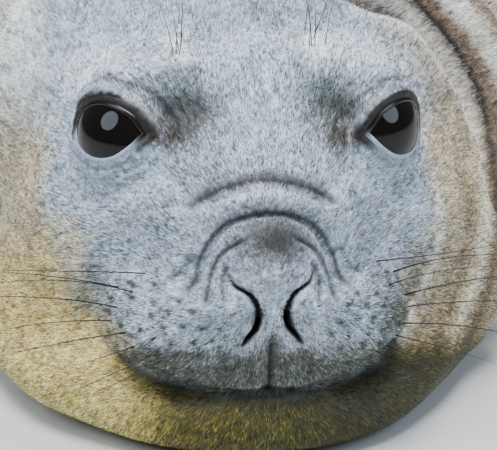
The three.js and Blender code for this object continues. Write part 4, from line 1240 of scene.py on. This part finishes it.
def coat_piece(name, weights, number, length, width):
    """Blades scattered over the quads by weight. length and width are functions of place."""
    chosen = np.searchsorted(np.cumsum(weights) / weights.sum(), rng.random(number))
    chosen = np.clip(chosen, 0, len(weights) - 1)
    a, b = rng.random((2, number, 1))
    root = across_quad(corner[chosen], a, b)
    root_uv = across_quad(uv[all_quads[chosen]], a, b)
    n = quad_normal[chosen]
    where = quad_at[chosen]
    way = flow_at(root, where) + rng.normal(0, 0.13, root.shape)
    way += (np.stack([noise(root, 14.0, 60 + k) for k in range(3)], 1) - 0.5) * 0.55
    way = unit(way - (way * n).sum(1, keepdims=True) * n)
    size = rng.uniform(0.7, 1.3, (number, 1))
    long = length(root)[:, None] * size
    wide = width(root)[:, None] * size
    lift = np.radians(rng.uniform(*HAIR_LEAN, (number, 1)))
    base = root - n * ROOT_SINK
    aside = np.cross(n, way) * wide / 2
    ridge = base + n * wide * 0.45 + way * long * 0.3
    tip = base + (way * np.cos(lift) + n * np.sin(lift)) * long
    tip[:, 2] = np.maximum(tip[:, 2], 0.15)
    made = np.stack([base - aside, base + aside, ridge, tip], 1).reshape(-1, 3)
    k = np.arange(number)[:, None] * 4
    faces = np.vstack([k + [0, 2, 3], k + [2, 1, 3], k + [0, 1, 2], k + [1, 0, 3]])
    tint = colour_of(root, where, turn[all_quads[chosen, 0]], flipper[all_quads[chosen]].mean(1))
    tint = tint * rng.choice(HAIR_TONES_AND_GLINTS, (number, 1)) * rng.uniform(0.88, 1.12, (number, 1))
    shades = np.stack([tint * 0.82, tint * 0.82, tint, tint * 1.12], 1).reshape(-1, 3)
    patch_uv = (root_uv[:, None, :] + BLADE_UV).reshape(-1, 2)
    piece = mesh_object(name, made, [faces], HAIR, patch_uv, np.clip(shades, 0.004, 0.97), flat=True)
    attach(piece, "root")


def face_length(p):
    x, h, _ = face_place(p)
    nose = bell(np.hypot(x / 1.1, h - 92), 30)
    lines = np.full(len(p), 99.0)
    for name in ("bridge_fold", "nose_arch", "inner_arch", "philtrum"):
        lines = np.minimum(lines, to_line(LINE[name], np.abs(x) if name == "inner_arch" else x, h)[0])
    return (2.5 - 1.2 * nose) * (0.5 + 0.5 * smooth(0.5, 5, lines))


def growing(least, more):
    """A measure that grows from the head back over the neck."""
    return lambda p: least + more * smooth(190, 300, p[:, 1])


above = quad_mid[:, 2] >= 0.5
is_face = np.arange(len(all_quads)) < len(quads[0])
denser_ahead = 0.35 + 0.65 * smooth(150, 60, quad_mid[:, 1])
face_weight = area * (1 - bare(quad_mid)) * (is_face & above) * denser_ahead
rest = area * (~is_face & above)
neck_weight = rest * (smooth(420, 260, quad_at) + 7 * smooth(235, 185, quad_at))
body_weight = rest * smooth(170, 260, quad_at)
# name, pieces, blades in each, where they grow, their length and width, slot
COATS = [
    ("face_coat", 4, 44000, face_weight, face_length, growing(0.34, 0), "face_coat"),
    ("neck_coat", 2, 42000, neck_weight, growing(2.7, 3.5), growing(0.34, 0.4), "body_coat"),
    ("body_coat", 2, 42000, body_weight, growing(7.5, 0), growing(0.95, 0), "body_coat"),
]
for name, pieces, blades, weights, length, width, slot in COATS:
    for number in range(pieces):
        coat_piece(f"{name}_{number + 1}", weights, blades, length, width)

# Floor and light
FLOOR_HALF, FLOOR_LEVEL = 9000, -0.3
corners = np.array([(-1, -1), (1, -1), (1, 1), (-1, 1)])
floor_points = np.column_stack([corners * FLOOR_HALF, np.full(4, FLOOR_LEVEL)])
floor = mesh_object("floor", floor_points, [np.array([[0, 1, 2, 3]])], FLOOR)

scene = bpy.context.scene
world = bpy.data.worlds.new("world")
scene.world = world
world.use_nodes = True
world.node_tree.nodes["Background"].inputs["Color"].default_value = (0.62, 0.68, 0.76, 1)
world.node_tree.nodes["Background"].inputs["Strength"].default_value = 0.22


def aim(thing, place, way):
    """Sets a lamp or camera at a place, looking against a way."""
    thing.location = to_row(place)
    thing.rotation_mode = "QUATERNION"
    thing.rotation_quaternion = Vector(way).to_track_quat("Z", "Y")


def softbox(name, place, target, size, energy, colour):
    light = bpy.data.lights.new(name, "AREA")
    light.energy = energy
    light.shape = "DISK"
    light.size = size
    light.color = colour
    made = bpy.data.objects.new(name, light)
    bpy.context.collection.objects.link(made)
    aim(made, place, np.subtract(place, target) / 1000)


softbox("key", (-120, -150, 1900), (0, 80, 100), 1.3, 60, (0.97, 0.985, 1.0))
softbox("sky_right", (-1350, -450, 1250), (0, 80, 100), 1.2, 22, (0.72, 0.84, 1.0))
softbox("sky_left", (1350, -650, 1100), (0, 80, 100), 1.2, 20, (0.72, 0.84, 1.0))
softbox("back", (900, 2600, 1600), (300, 900, 100), 1.6, 30, (1.0, 0.97, 0.92))

# Camera: a long lens, from the front, a little to the seal's right and above
AIM = np.array([-8.0, 30.0, 112.0])
FAR_AWAY, AZIMUTH, ELEVATION, WIDTH_SEEN, SENSOR = 1500.0, math.radians(-7), math.radians(20), 228.6, 36
camera_data = bpy.data.cameras.new("camera")
camera = bpy.data.objects.new("camera", camera_data)
bpy.context.collection.objects.link(camera)
level = math.cos(ELEVATION)
view_from = np.array([math.sin(AZIMUTH) * level, -math.cos(AZIMUTH) * level, math.sin(ELEVATION)])
aim(camera, AIM + view_from * FAR_AWAY, view_from)
camera_data.lens = SENSOR * FAR_AWAY / WIDTH_SEEN
camera_data.clip_start, camera_data.clip_end = 0.05, 100
scene.camera = camera
